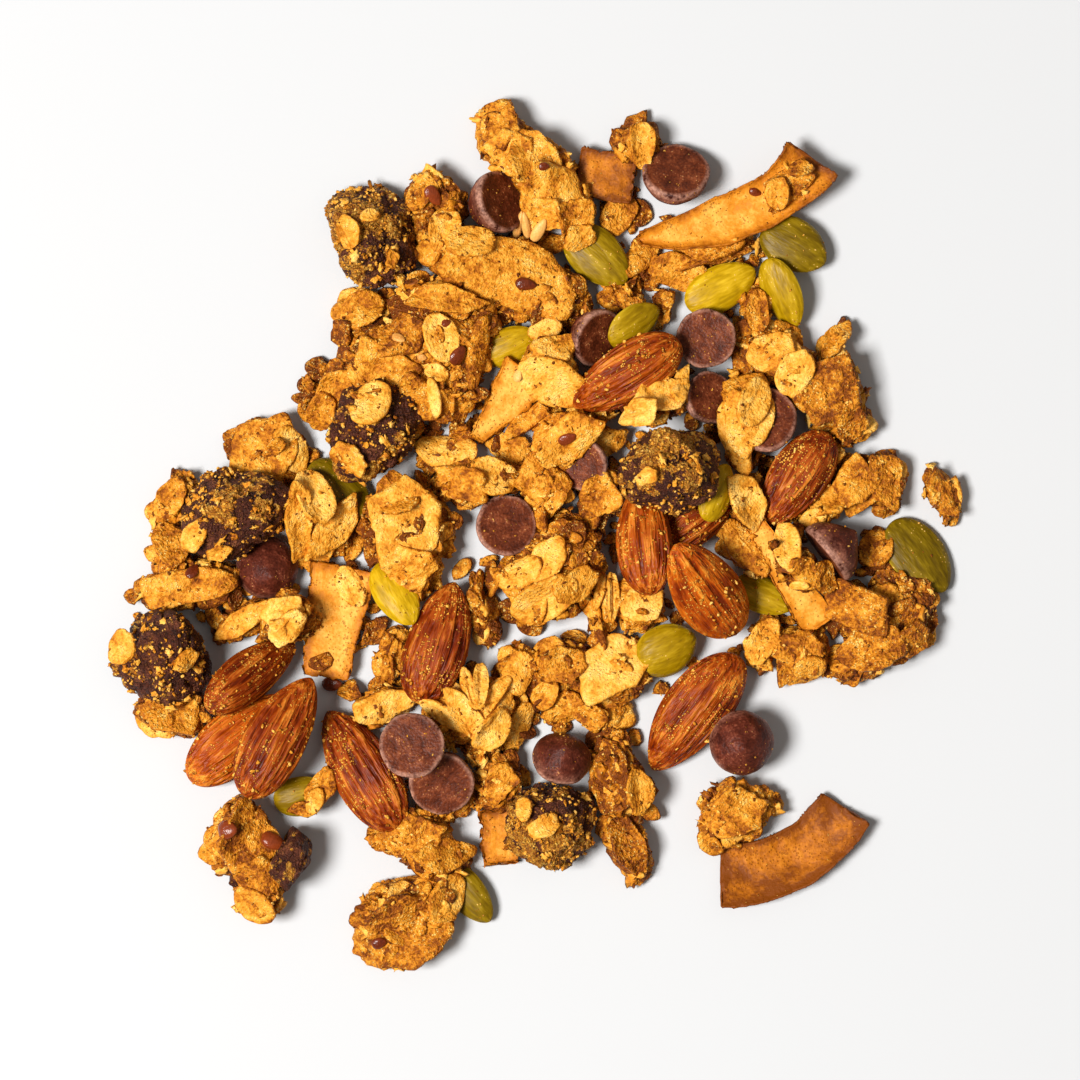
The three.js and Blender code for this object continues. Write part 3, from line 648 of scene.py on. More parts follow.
chipForm = {
    "around": 60,
    # half its outline, from the middle of the flat face to the tip, as shares of radius and height
    "profile": [
        (0, 0.025), (0.3, 0.022), (0.6, 0.012), (0.85, 0.002), (0.93, 0.0), (0.975, 0.02), (1.0, 0.07),
        (1.0, 0.13), (0.985, 0.2), (0.96, 0.28), (0.91, 0.37), (0.84, 0.46), (0.74, 0.56), (0.61, 0.66),
        (0.47, 0.75), (0.34, 0.83), (0.23, 0.89), (0.14, 0.94), (0.07, 0.98), (0, 1.0),
    ],
}


def chipMesh(radius, height, curl, seed):
    bm = bmesh.new()
    line = [bm.verts.new((r * radius, 0, z * height)) for r, z in chipForm["profile"]]
    edges = [bm.edges.new(pair) for pair in zip(line, line[1:])]
    bmesh.ops.spin(bm, geom=line + edges, cent=(0, 0, 0), axis=(0, 0, 1), angle=2 * math.pi,
                   steps=chipForm["around"], use_merge=True)
    bmesh.ops.remove_doubles(bm, verts=bm.verts, dist=1e-6)
    bmesh.ops.recalc_face_normals(bm, faces=bm.faces)
    edge = bm.verts.layers.float.new("edge")
    tone = bm.verts.layers.float.new("tone")
    for v in bm.verts:
        up = v.co.z / height
        out = v.co.xy.length / radius
        v[tone] = 1.0 if up < 0.03 and out < 0.97 else 0.0
        v[edge] = max(0.0, 1 - abs(out - 0.98) * 9) * (1.0 if up < 0.16 else 0.25)
        swell = wave(v.co.x * 260 + seed * 3, v.co.y * 260, v.co.z * 260) * 0.22 * mm
        swell += wave(v.co.x * 900, v.co.y * 900 + seed, v.co.z * 900) * 0.05 * mm
        v.co += Vector((v.co.x, v.co.y, v.co.z - height * 0.3)).normalized() * swell
        v.co.x += curl * max(0, up) ** 3
        v.co.z -= 0.5 * curl * max(0, up - 0.75)
    return meshFrom(bm, "chip")


chipNames = sorted(n for n in frame["nodes"] if n.startswith("chip_"))
for index, node in enumerate(chipNames):
    where, radius, height, curl = dropPose(node)
    mesh = chipMesh(radius, height, curl, index + 1)
    shiftOwn(mesh, (0.1 * index, 0, 0.05))
    mesh.transform(where)
    liftOff(mesh)
    finishPiece(node.replace("chip_", "chip."), mesh, "chocolate", "chocolate", node)
print("chips:", len(chipNames))

seedTones = {
    # from dull olive to bright yellow green
    "top": 0.35, "top_right": 0.15, "mid_right": 0.9, "upper_slim": 0.6, "upper_mid": 0.75,
    "upper_right": 0.5, "left": 0.1, "centre_left": 0.95, "slim": 0.75, "right": 0.08, "centre": 0.5,
    "low_right": 0.6, "low": 0.2, "low_left": 0.35,
}


def seedMesh(long, wide, thick, seed):
    bm = roundForm(around=60, along=34)
    edge = bm.verts.layers.float.new("edge")
    for v in bm.verts:
        u = min(1.0, max(0.0, (v.co.x + 1) / 2))
        a = math.atan2(v.co.z, v.co.y)
        ring = u ** 0.52 * (1 - u) ** 0.62 / 0.4557
        c, s = math.cos(a), math.sin(a)
        lip = math.exp(-((abs(s) / 0.16) ** 2))  # the raised seam round its edge
        rib = wave(c * 3 + seed * 9, s * 3, u * 2) * 0.10 + wave(c * 8 + seed, s * 8, u * 5) * 0.04
        flat = 1 - 0.1 * (1 - s * s) * math.sin(math.pi * u)
        v[edge] = lip * math.sin(math.pi * u)
        y = c * (ring * wide / 2 + (rib + 0.1 * lip) * mm)
        z = s * (ring ** 0.9 * thick / 2 * flat + rib * mm)
        v.co = ((u - 0.5) * long, y, z)
    return meshFrom(bm, "pumpkinSeed")


for index, (label, tone) in enumerate(seedTones.items()):
    where, size = kernelPose("pumpkin_seed_" + label)
    mesh = seedMesh(*size, index + 1)
    setTone(mesh, tone)
    shiftOwn(mesh, (0, 0.1 * index, 0.1))
    mesh.transform(where)
    liftOff(mesh)
    finishPiece("pumpkin_seed." + label, mesh, "seed", "pumpkin_seed", "pumpkin_seed_" + label)
print("pumpkin seeds:", len(seedTones))


def straight(x, y, turn, long):
    c, s = math.cos(math.radians(turn)), math.sin(math.radians(turn))
    return lambda t: (x + c * (t - 0.5) * long, y + s * (t - 0.5) * long)


def arcPath(t):
    a = math.radians(-92 + 61 * t)
    return 30.8 + 23.4 * math.cos(a), -32.5 + 23.4 * math.sin(a)


def bowPath(t):
    return (16.3 * (1 - t) ** 2 + 77 * t * (1 - t) + 45.3 * t * t,
            49.8 * (1 - t) ** 2 + 105.5 * t * (1 - t) + 63.3 * t * t)


def longWidth(t):
    # widens from its slim end, then again where it is cut square
    return 1.4 + 6.9 * min(1, 2.8 * t) ** 0.6 + 1.6 * min(1, max(0, 4 * t - 2.8))


coconuts = {
    # path and width in mm, rise above its own plane, tone from brown to pale, how ragged its rim is
    "arc": {
        "path": arcPath, "width": lambda t: 10.6 - t, "tone": lambda t: 0.06 * t - 0.12, "ragged": 0.25,
        "steps": 90, "rise": lambda t, s: 1.1 * s * s + 0.8 * (2 * t - 1) ** 2,
    },
    "long": {
        "path": bowPath, "width": longWidth, "tone": lambda t: 0.46 - 0.3 * min(1, max(0, t * 6 - 4.2)),
        "ragged": 0.25, "steps": 96, "rise": lambda t, s: 1.2 * s * s + 2 * t,
    },
    "square": {
        "path": straight(11, 60.6, -8, 9.5), "width": lambda t: 8.2, "tone": lambda t: 0.03,
        "ragged": 0.45, "steps": 34, "rise": lambda t, s: 0.3 * s * s,
    },
    "base_low": {
        "path": straight(-6.8, -49.4, 95, 9), "width": lambda t: 5.8, "tone": lambda t: 0.4,
        "ragged": 0.5, "steps": 34, "rise": lambda t, s: 0.2 * s * s,
    },
    "trapeze": {
        "path": straight(-34.2, -13.6, 80, 18.6), "width": lambda t: 7.4 + 3.6 * t, "tone": lambda t: 0.44,
        "ragged": 0.3, "steps": 60, "rise": lambda t, s: t * t,
    },
    "wedge": {
        "path": straight(-6.2, 22.2, 52, 14), "width": lambda t: 2.6 + 7 * t, "tone": lambda t: 0.62,
        "ragged": 0.45, "steps": 50, "rise": lambda t, s: 1.4 * t * t,
    },
    "slim": {
        "path": straight(41, -6, 122, 20), "width": lambda t: 5.6 - 2 * t * t, "tone": lambda t: 0.6,
        "ragged": 0.3, "steps": 60, "rise": lambda t, s: 1.6 * math.sin(math.pi * t),
    },
}
coconutThick = 1.2  # in mm


def acrossPath(path, t, offset):
    inner = min(0.98, max(0.02, t))
    ax, ay = path(inner - 0.02)
    bx, by = path(inner + 0.02)
    run = math.hypot(bx - ax, by - ay)
    x, y = path(inner)
    x += (bx - ax) * (t - inner) * 25  # past the ends it goes straight on
    y += (by - ay) * (t - inner) * 25
    return x - (by - ay) / run * offset, y + (bx - ax) / run * offset


def restingPlane(node, path, width, rise):
    # the sloping plane that the node's underside keeps to, in mm, whatever else is stuck on it
    tree = cadTree(node)
    rows, heights = [], []
    for t in np.linspace(0.06, 0.94, 12):
        for s in (-0.8, -0.4, 0, 0.4, 0.8):
            x, y = acrossPath(path, t, s * width(t) / 2)
            hit = tree.ray_cast(Vector((x, y, -10)) * mm, Vector((0, 0, 1)))[0]
            if hit:
                rows.append((x, y, 1))
                heights.append(hit.z / mm - rise(t, s) + coconutThick / 2)
    rows, heights = np.array(rows), np.array(heights)
    keep = np.ones(len(rows), bool)
    for _ in range(6):
        plane = np.linalg.lstsq(rows[keep], heights[keep], rcond=None)[0]
        off = np.abs(rows @ plane - heights)
        keep = off <= max(0.25, np.quantile(off, 0.7))
    return plane


def nearRim(mesh, outline, reach):
    # fills the edge value: 1 at the rim, falling to 0 inside it
    flat = pointsOf(mesh)[:, :2]
    gap = np.full(len(flat), 1e9)
    for x, y in outline:
        gap = np.minimum(gap, np.hypot(flat[:, 0] - x, flat[:, 1] - y))
    mesh.attributes["edge"].data.foreach_set("value", np.clip(1 - gap / reach, 0, 1))


def coconutMesh(node, kind, seed):
    plane = restingPlane(node, kind["path"], kind["width"], kind["rise"])
    rough = kind["ragged"]

    def laid(t, s, level):
        worn = wave(t * kind["steps"] * 0.09, s * 0.3 + seed * 5, 0.3, 3)
        wide = kind["width"](t) / 2 + rough * worn * abs(s) ** 3
        end = rough * 0.02 * wave(s * 1.8, seed * 3.1, t * 2, 3) * abs(2 * t - 1) ** 6
        x, y = acrossPath(kind["path"], t + end, s * wide)
        z = plane[0] * x + plane[1] * y + plane[2] + kind["rise"](t, s)
        z += 0.35 * wave(x * 0.2, y * 0.2, seed) + 0.12 * wave(x * 0.8, y * 0.8, seed + level)
        return Vector((x, y, z + (level - 0.5) * coconutThick))

    bm = bmesh.new()
    bmesh.ops.create_grid(bm, x_segments=kind["steps"], y_segments=22, size=0.5)
    bottom = bm.faces[:]
    grown = bmesh.ops.extrude_face_region(bm, geom=bottom, use_keep_orig=True)["geom"]
    bmesh.ops.translate(bm, verts=[g for g in grown if isinstance(g, bmesh.types.BMVert)], vec=(0, 0, 1))
    bmesh.ops.recalc_face_normals(bm, faces=bm.faces)
    tone = bm.verts.layers.float.new("tone")
    for v in bm.verts:
        v[tone] = kind["tone"](v.co.x + 0.5)
        v.co = laid(v.co.x + 0.5, v.co.y * 2, v.co.z) * mm
    rim = [e for e in bm.edges if e.is_manifold and e.calc_face_angle() > 0.9]
    bmesh.ops.bevel(bm, geom=rim, offset=0.3 * mm, affect="EDGES", segments=2, profile=0.5, material=-1)
    mesh = meshFrom(bm, "coconut")
    around = [(t, s) for t in np.linspace(0, 1, 120) for s in (-1, 1)]
    around += [(t, s) for s in np.linspace(-1, 1, 30) for t in (0, 1)]
    nearRim(mesh, [laid(t, s, 0).xy * mm for t, s in around], 1.7 * mm)
    return mesh


for index, (label, kind) in enumerate(coconuts.items()):
    mesh = coconutMesh("coconut_" + label, kind, index + 1)
    shiftOwn(mesh, (0.07 * index, 0, 0))
    liftOff(mesh)
    finishPiece("coconut." + label, mesh, "coconut", "coconut", "coconut_" + label)
print("coconut:", len(coconuts))

cocoas = {
    # how much of it is crusted with golden crumbs, and which way that side faces
    "top_left": (0.75, (-0.5, 0.1, 0.6)), "left": (0.4, (0.3, 0.6, 0.6)),
    "far_left": (0.08, (-0.9, 0.0, 0.3)), "upper_left": (0.22, (-0.3, -0.3, 0.6)),
    "centre": (0.6, (-0.2, 0.5, 0.7)), "low": (0.7, (-0.2, -0.3, 0.7)),
}


def skinOf(node, fineness):
    # a fine round skin drawn on to the node's own outline
    tree = cadTree(node)
    low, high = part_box(node)
    middle = (low + high) / 2
    bm = bmesh.new()
    bmesh.ops.create_icosphere(bm, subdivisions=fineness, radius=1.0)
    for v in bm.verts:
        way = v.co.normalized()
        hit = tree.ray_cast(middle + way * 0.05, -way)[0]
        v.co = (hit if hit else middle + way * 0.006) - middle
    for _ in range(3):
        bmesh.ops.smooth_vert(bm, verts=bm.verts, factor=0.5, use_axis_x=True, use_axis_y=True,
                              use_axis_z=True)
    return bm, middle


def cocoaMesh(node, crusted, facing, seed):
    bm, middle = skinOf(node, 6)
    crust = bm.verts.layers.float.new("edge")
    side = Vector(facing).normalized()
    cuts = chippedBall(seed + 60, 7, 3)
    for v in bm.verts:
        way = v.co.normalized()
        v.co *= 1.03 * chipped(way, cuts)
        p = v.co / mm + Vector((seed * 7, 0, 0))
        plate, crack = plated(p, 4.4)
        flake, chink = plated(p, 1.9)
        grain, gap = plated(p, 0.8)
        gold = way.dot(side) * 0.8 + crusted * 2 - 1.25
        gold += 1.6 * wave(p.x * 0.3, p.y * 0.3, p.z * 0.3 + 9) + 0.8 * plate
        v[crust] = min(1, max(0, (gold + 0.8 * flake + 0.5 * grain) * 2.4))
        push = 0.7 * plate + 0.4 * flake - 0.4 * crack - 0.15 * chink
        push += (0.3 * grain - 0.08 * gap) * (0.3 + v[crust])
        v.co += way * push * mm
        v.co.z = max(v.co.z, ground - middle.z)
    markCreases(bm)
    mesh = meshFrom(bm, "cocoaCluster")
    mesh.transform(Matrix.Translation(middle))
    return mesh


for index, (label, (crusted, facing)) in enumerate(cocoas.items()):
    node = "cocoa_cluster_" + label
    mesh = cocoaMesh(node, crusted, facing, index + 1)
    finishPiece("cocoa." + label, mesh, "cocoa", "cocoa", node)

looseCocoa = [
    # photo x and y, long, wide and high in mm, turn
    (291, 858, 10, 6, 11, 70), (520, 580, 6, 4.6, 9.6, 20), (590, 452, 4, 3, 7, 0), (238, 878, 3, 2.4, 7, 0),
]


def looseMesh(row, seed):
    px, py, long, wide, high, turn = row
    cuts = chippedBall(seed + 80, 6, 2)
    bm = bmesh.new()
    bmesh.ops.create_icosphere(bm, subdivisions=5, radius=1.0)
    crust = bm.verts.layers.float.new("edge")
    for v in bm.verts:
        w = v.co.normalized()
        p = Vector((w.x * long, w.y * wide, w.z * high)) / 2 * chipped(w, cuts)
        plate, crack = plated(p + Vector((seed * 5, 0, 0)), 2.2)
        v[crust] = min(1, max(0, 0.3 + 2 * wave(p.x * 0.5, p.y * 0.5, seed)))
        v.co = (p + w * (0.5 * plate - 0.2 * crack)) * mm
    spin = Matrix.Rotation(math.radians(turn), 4, "Z")
    where = Matrix.Translation((*spot(px, py), high * 0.48 * mm))
    bmesh.ops.transform(bm, matrix=where @ spin, verts=bm.verts)
    for v in bm.verts:
        v.co.z = max(v.co.z, ground)
    return meshFrom(bm, "looseCocoa")


for index, row in enumerate(looseCocoa):
    finishPiece("cocoa_bit.%d" % (index + 1), looseMesh(row, index + 1), "cocoa", "cocoa")
print("cocoa clusters:", len(cocoas), "and", len(looseCocoa), "loose bits")

lumps = {
    # x, y, long, wide and high in mm, turn in degrees, lift in mm
    "oat_heap": [
        (-17.3, 54.2, 15, 9.6, 7, 95, 0), (-5.8, 66.4, 12, 9, 6, 120, 0), (0.2, 60.8, 14, 11.4, 7, 135, 0),
        (5, 55.6, 13, 8, 5.5, 120, 0), (16.4, 65.6, 8.4, 7.4, 5, 100, 0), (29, 47.6, 17, 5, 4, 12, 0.6),
        (-4, 43.6, 27.5, 11.6, 5.4, -22, 0.8), (13.4, 40.2, 8.6, 5.6, 4.5, 0, 0),
        (20.4, 38.4, 7, 4, 4, 80, 0), (36.2, 38.4, 9, 5.4, 5, 88, 0), (-25.8, 31.4, 15, 13, 9, 20, 0),
        (-16.8, 35.2, 15, 13, 9, 60, 0), (-17, 26, 14, 12, 9, 0, 0), (-23, 24.6, 12, 10, 7, 30, 0.6),
        (-10.6, 32.8, 17, 5, 7, 76, 0.6), (-16.4, 40.4, 15, 5, 4.6, -14, 4),
        (-29.6, 38, 9.6, 6.6, 3.6, 15, 0), (1.2, 29.4, 10, 8, 9, 20, 1), (4.4, 16.6, 11, 8.4, 6, 32, 2),
        (-11.2, 10.2, 15.6, 7.8, 7, 5, 0), (1.4, 9.2, 10, 8, 7, 60, 0), (10.4, 8, 9, 8.4, 7, 80, 0),
        (9.6, 21.6, 8, 5, 4, 10, 2.4), (18.8, 23, 12.6, 7.6, 10, 10, 0), (33.4, 19.2, 15, 6, 7, 98, 0.5),
        (38.6, 31.4, 10, 8, 6, 10, 0), (42.4, 27.8, 9, 7, 7, 70, 0.5), (48.4, 24.6, 13, 11, 7, 60, 0),
        (51.6, 19.6, 8.4, 7, 6, 100, 0), (47.2, 13.4, 8, 6, 5, 40, 0), (57.4, 9.8, 10, 7.4, 5, 100, 0),
        (46.4, 4.6, 9, 5.4, 4, 20, 1), (34.2, 6.3, 10, 6.2, 5, 80, 2.4),
        (34.4, -1.4, 11.5, 6.4, 8, -48, 0), (-46.2, 15.2, 9, 8, 3.2, 50, 0),
        (-36.4, 1.6, 11, 5, 2.4, 62, 0), (-21.8, 2.6, 15, 15, 9, 90, 0), (-21.4, -4.4, 10, 11, 8, 60, 0),
        (-60.8, 6.6, 10, 6.6, 5, 60, 0), (-61.2, -1, 9.6, 7, 5, 110, 0), (-58.4, -7.4, 18, 8.6, 6, 12, 0),
        (-49.4, -13.2, 12.6, 4.8, 5, 35, 0), (-41.6, -12.8, 10.4, 8, 10, 20, 0),
        (-61.2, -28, 12.8, 9.4, 6, -14, 0), (-4, 4, 8, 7, 3, 40, 0), (2, -5, 19, 15, 9, 70, 0),
        (10.2, -11.6, 12, 4.6, 6, 92, 0), (-10, -11.6, 13, 4.2, 6, 102, 0),
        (17, -10.6, 9.8, 8.2, 4.6, 80, 1.5), (-3.4, -21.6, 9.4, 6, 6, 76, 0),
        (3.8, -20.6, 9.4, 8.4, 7, 30, 0), (12.8, -21.8, 13, 11, 6.4, 40, 0), (11, -28.6, 8, 6, 4, 10, 0),
        (-26.4, -27.6, 11.6, 6.4, 6, 15, 0), (-24.4, -19.6, 10, 5, 5, 80, 0),
        (-11.8, -28.6, 14, 10, 7, 30, 0), (-9.4, -33.6, 8, 6, 6, 100, 0),
        (-21.4, -48.4, 13.2, 7.8, 7, 10, 0), (-14.6, -43.6, 8, 6, 4, 30, 0),
        (-7, -40.6, 9.4, 8.4, 6, 60, 0), (13, -40.4, 15, 8.4, 6.4, -74, 0),
        (14.8, -50.8, 13, 7, 5.4, -64, 0), (43.4, -19.2, 9.6, 9, 6, 40, 0),
        (37.2, -16.8, 10.4, 5.6, 5, 76, 0), (60.6, -9.6, 12.6, 9, 6, 160, 0),
        (54.4, -13.6, 13, 10, 7, 130, 0), (53, -20.6, 11.4, 6.6, 5, 12, 0),
        (63.4, -13.8, 8, 6, 4.6, 60, 0), (41, 57.8, 9, 6.4, 5, 40, 1.4),
        (41.8, -3.8, 13, 6.4, 4.4, 122, 6.2),
    ],
    "low_left_cluster": [(-49.6, -49, 14, 11, 8, 60, 0), (-46.4, -56.6, 12, 9.4, 7, 110, 0)],
    "low_cluster": [
        (-17.2, -53.6, 12, 6.4, 6, 0, 0), (-23.4, -63.4, 18, 13, 6, 32, 0), (-18.2, -59.4, 12, 8, 7, 20, 0),
    ],
    "low_right_cluster": [(32.6, -45, 14, 9.4, 7, 20, 0), (30.6, -48.4, 9, 6, 5, 30, 0)],
    "right_crumb": [(67, 7.6, 10, 5, 4.4, 122, 0)],
}


def lumpMesh(row, seed):
    x, y, long, wide, high, turn, lift = row
    cuts = chippedBall(seed)
    bm = bmesh.new()
    bmesh.ops.create_icosphere(bm, subdivisions=5 if long > 13 else 4, radius=1.0)
    edge = bm.verts.layers.float.new("edge")
    for v in bm.verts:
        w = v.co.normalized()
        p = Vector((w.x * long, w.y * wide, w.z * high)) / 2 * chipped(w, cuts)
        out = Vector((w.x / long, w.y / wide, w.z / high)).normalized()
        q = p + Vector((seed * 11, 0, 0))
        plate, crack = plated(q, 3.6)
        flake, chink = plated(q, 1.5)
        push = 0.8 * plate + 0.34 * flake - 0.4 * crack - 0.14 * chink
        push += 0.14 * wave(q.x * 1.7, q.y * 1.7, q.z * 1.7)
        # the edge value marks the cracks between the plates, which the crumb finish darkens: partly toasted
        # brown, partly painted shade in the cracks
        v[edge] = max(crack, 0.5 * chink)
        v.co = (p + out * push) * mm
    spin = Matrix.Rotation(math.radians(turn), 4, "Z")
    base = (high * (0.5 if lift > 0 else 0.42) + lift) * mm
    bmesh.ops.transform(bm, matrix=Matrix.Translation((x * mm, y * mm, base)) @ spin, verts=bm.verts)
    for v in bm.verts:
        v.co.z = max(v.co.z, ground)
    markCreases(bm)
    return bm


def joinAll(name, meshes):
    # many small meshes into one, keeping what each point carries
    bm = bmesh.new()
    for mesh in meshes:
        bm.from_mesh(mesh)
        bpy.data.meshes.remove(mesh)
    joined = bpy.data.meshes.new(name)
    bm.to_mesh(joined)
    bm.free()
    return joined


surfaces = []  # what a piece can come to rest on: x, y, reach, search tree, whether it is a topping


def heightAt(x, y, onToppings=False):
    top = 0.0
    for sx, sy, reach, tree, topping in surfaces:
        if topping and not onToppings or (x - sx) ** 2 + (y - sy) ** 2 > reach * reach:
            continue
        hit = tree.ray_cast(Vector((x, y, skyHigh)), Vector((0, 0, -1)))[0]
        if hit and hit.z > top:
            top = hit.z
    return top


def restOn(x, y, long, wide, turn, onToppings=False, sink=0.3, steepest=0.6, press=0.72):
    # the slope a flat piece takes up on what lies under it, as a placing matrix
    c, s = math.cos(turn), math.sin(turn)
    rows, heights = [], []
    for u in (-0.34, 0, 0.34):
        for w in (-0.3, 0, 0.3):
            px, py = x + c * u * long - s * w * wide, y + s * u * long + c * w * wide
            rows.append((px - x, py - y, 1))
            heights.append(heightAt(px, py, onToppings))
    rows, heights = np.array(rows), np.array(heights)
    slopeX, slopeY, _ = np.linalg.lstsq(rows, heights, rcond=None)[0]
    steep = math.hypot(slopeX, slopeY)
    if steep > steepest:
        slopeX, slopeY = slopeX * steepest / steep, slopeY * steepest / steep
    lift = np.quantile(heights - rows[:, :2] @ np.array([slopeX, slopeY]), press)
    up = Vector((-slopeX, -slopeY, 1)).normalized()
    ahead = Vector((c, s, 0))
    ahead = (ahead - up * ahead.dot(up)).normalized()
    spin = Matrix((ahead, up.cross(ahead), up)).transposed().to_4x4()
    return Matrix.Translation((x, y, lift - sink * mm)) @ spin


def keepSurface(mesh, topping=False):
    tree = BVHTree.FromPolygons([v.co for v in mesh.vertices], [p.vertices for p in mesh.polygons])
    points = pointsOf(mesh)
    low, high = points.min(0), points.max(0)
    x, y = (low[:2] + high[:2]) / 2
    surfaces.append((x, y, math.hypot(*(high[:2] - low[:2])) / 2, tree, topping))


toneDice = random.Random(11)
lumpMeshes = {}
for node, rows in lumps.items():
    lumpMeshes[node] = []
    for index, row in enumerate(rows):
        mesh = meshFrom(lumpMesh(row, index + len(node)), "lump", toneDice.uniform(0.34, 0.74))
        keepSurface(mesh)
        lumpMeshes[node].append(mesh)
toppings = ("almond.", "chip.", "pumpkin_seed.", "cocoa", "coconut.")
for piece in bpy.data.objects:
    if piece.name.startswith(toppings) and piece.type == "MESH":
        keepSurface(piece.data, True)
lumpSkins = [m.copy() for group in lumpMeshes.values() for m in group]
for node, group in lumpMeshes.items():
    finishPiece("oats." + node, joinAll(node, group), "crumb", "oat", node)
print("oat lumps:", sum(len(rows) for rows in lumps.values()))


def slabMesh(long, wide, thick, corners, seed, fineness, crease, cup):
    # a thin piece: corners 0 is an oval oat, 1 a broken angular slab
    chance = random.Random(seed)
    bm = bmesh.new()
    bmesh.ops.create_icosphere(bm, subdivisions=fineness, radius=1.0)
    edge = bm.verts.layers.float.new("edge")
    count = chance.choice((4, 5, 5, 6))
    start = chance.uniform(0, 2 * math.pi)
    breaks = [(start + 2 * math.pi * (k + chance.uniform(-0.25, 0.25)) / count, chance.uniform(0.7, 0.96))
              for k in range(count)]
    for v in bm.verts:
        a = math.atan2(v.co.y, v.co.x)
        f = math.acos(max(-1, min(1, abs(v.co.z)))) / (math.pi / 2)
        c, s = math.cos(a), math.sin(a)
        reach = 1.0
        if corners > 0:
            straightEdge = min(out / max(0.25, math.cos(a - face)) for face, out in breaks)
            reach += (min(1.2, straightEdge) - 1) * corners
        reach *= 1 + 0.1 * wave(c * 1.2 + seed * 3, s * 1.2, 0.5)
        reach += (0.03 + 0.05 * corners) * wave(c * 5 + seed * 3, s * 5, 2.5, 3)
        out = min(1.0, f * 1.06)
        x, y = c * out * reach * long / 2, s * out * reach * wide / 2
        side = 1 if v.co.z >= 0 else -1
        drop = max(0.0, (f - 0.84) / 0.16)
        z = side * thick / 2 * max(0.0, 1 - drop * drop) ** 0.5
        z += cup * ((s * out) ** 2 * wide * 0.16 - (c * out) ** 2 * long * 0.05)
        z += (0.25 + 0.25 * corners) * wave(x * 0.25, y * 0.25, seed)
        fold = y / wide * 8 + 0.7 * wave(x * 0.3, seed, 1)
        z -= crease * math.exp(-fold * fold) * max(0, 1 - out ** 3) * side
        plate, crack = plated(Vector((x, y, seed * 5.3 + side)), 3.2)
        flake, chink = plated(Vector((x, y, seed * 7.1 + side)), 1.3)
        inside = 1 - drop
        z += side * inside * corners * (0.34 * plate + 0.14 * flake - 0.16 * crack)
        z += side * inside * (1 - corners) * 0.16 * wave(x * 0.5 + seed, y * 2.4, side)
        # the edge value is the toasted rim, and on broken slabs also the cracks, which are darkened partly as
        # painted shade
        v[edge] = max(0.8 * max(0.0, f * 5 - 4), corners * max(0.7 * crack, 0.4 * chink) * inside)
        v.co = Vector((x, y, z)) * mm
    markCreases(bm)
    return meshFrom(bm, "slab")


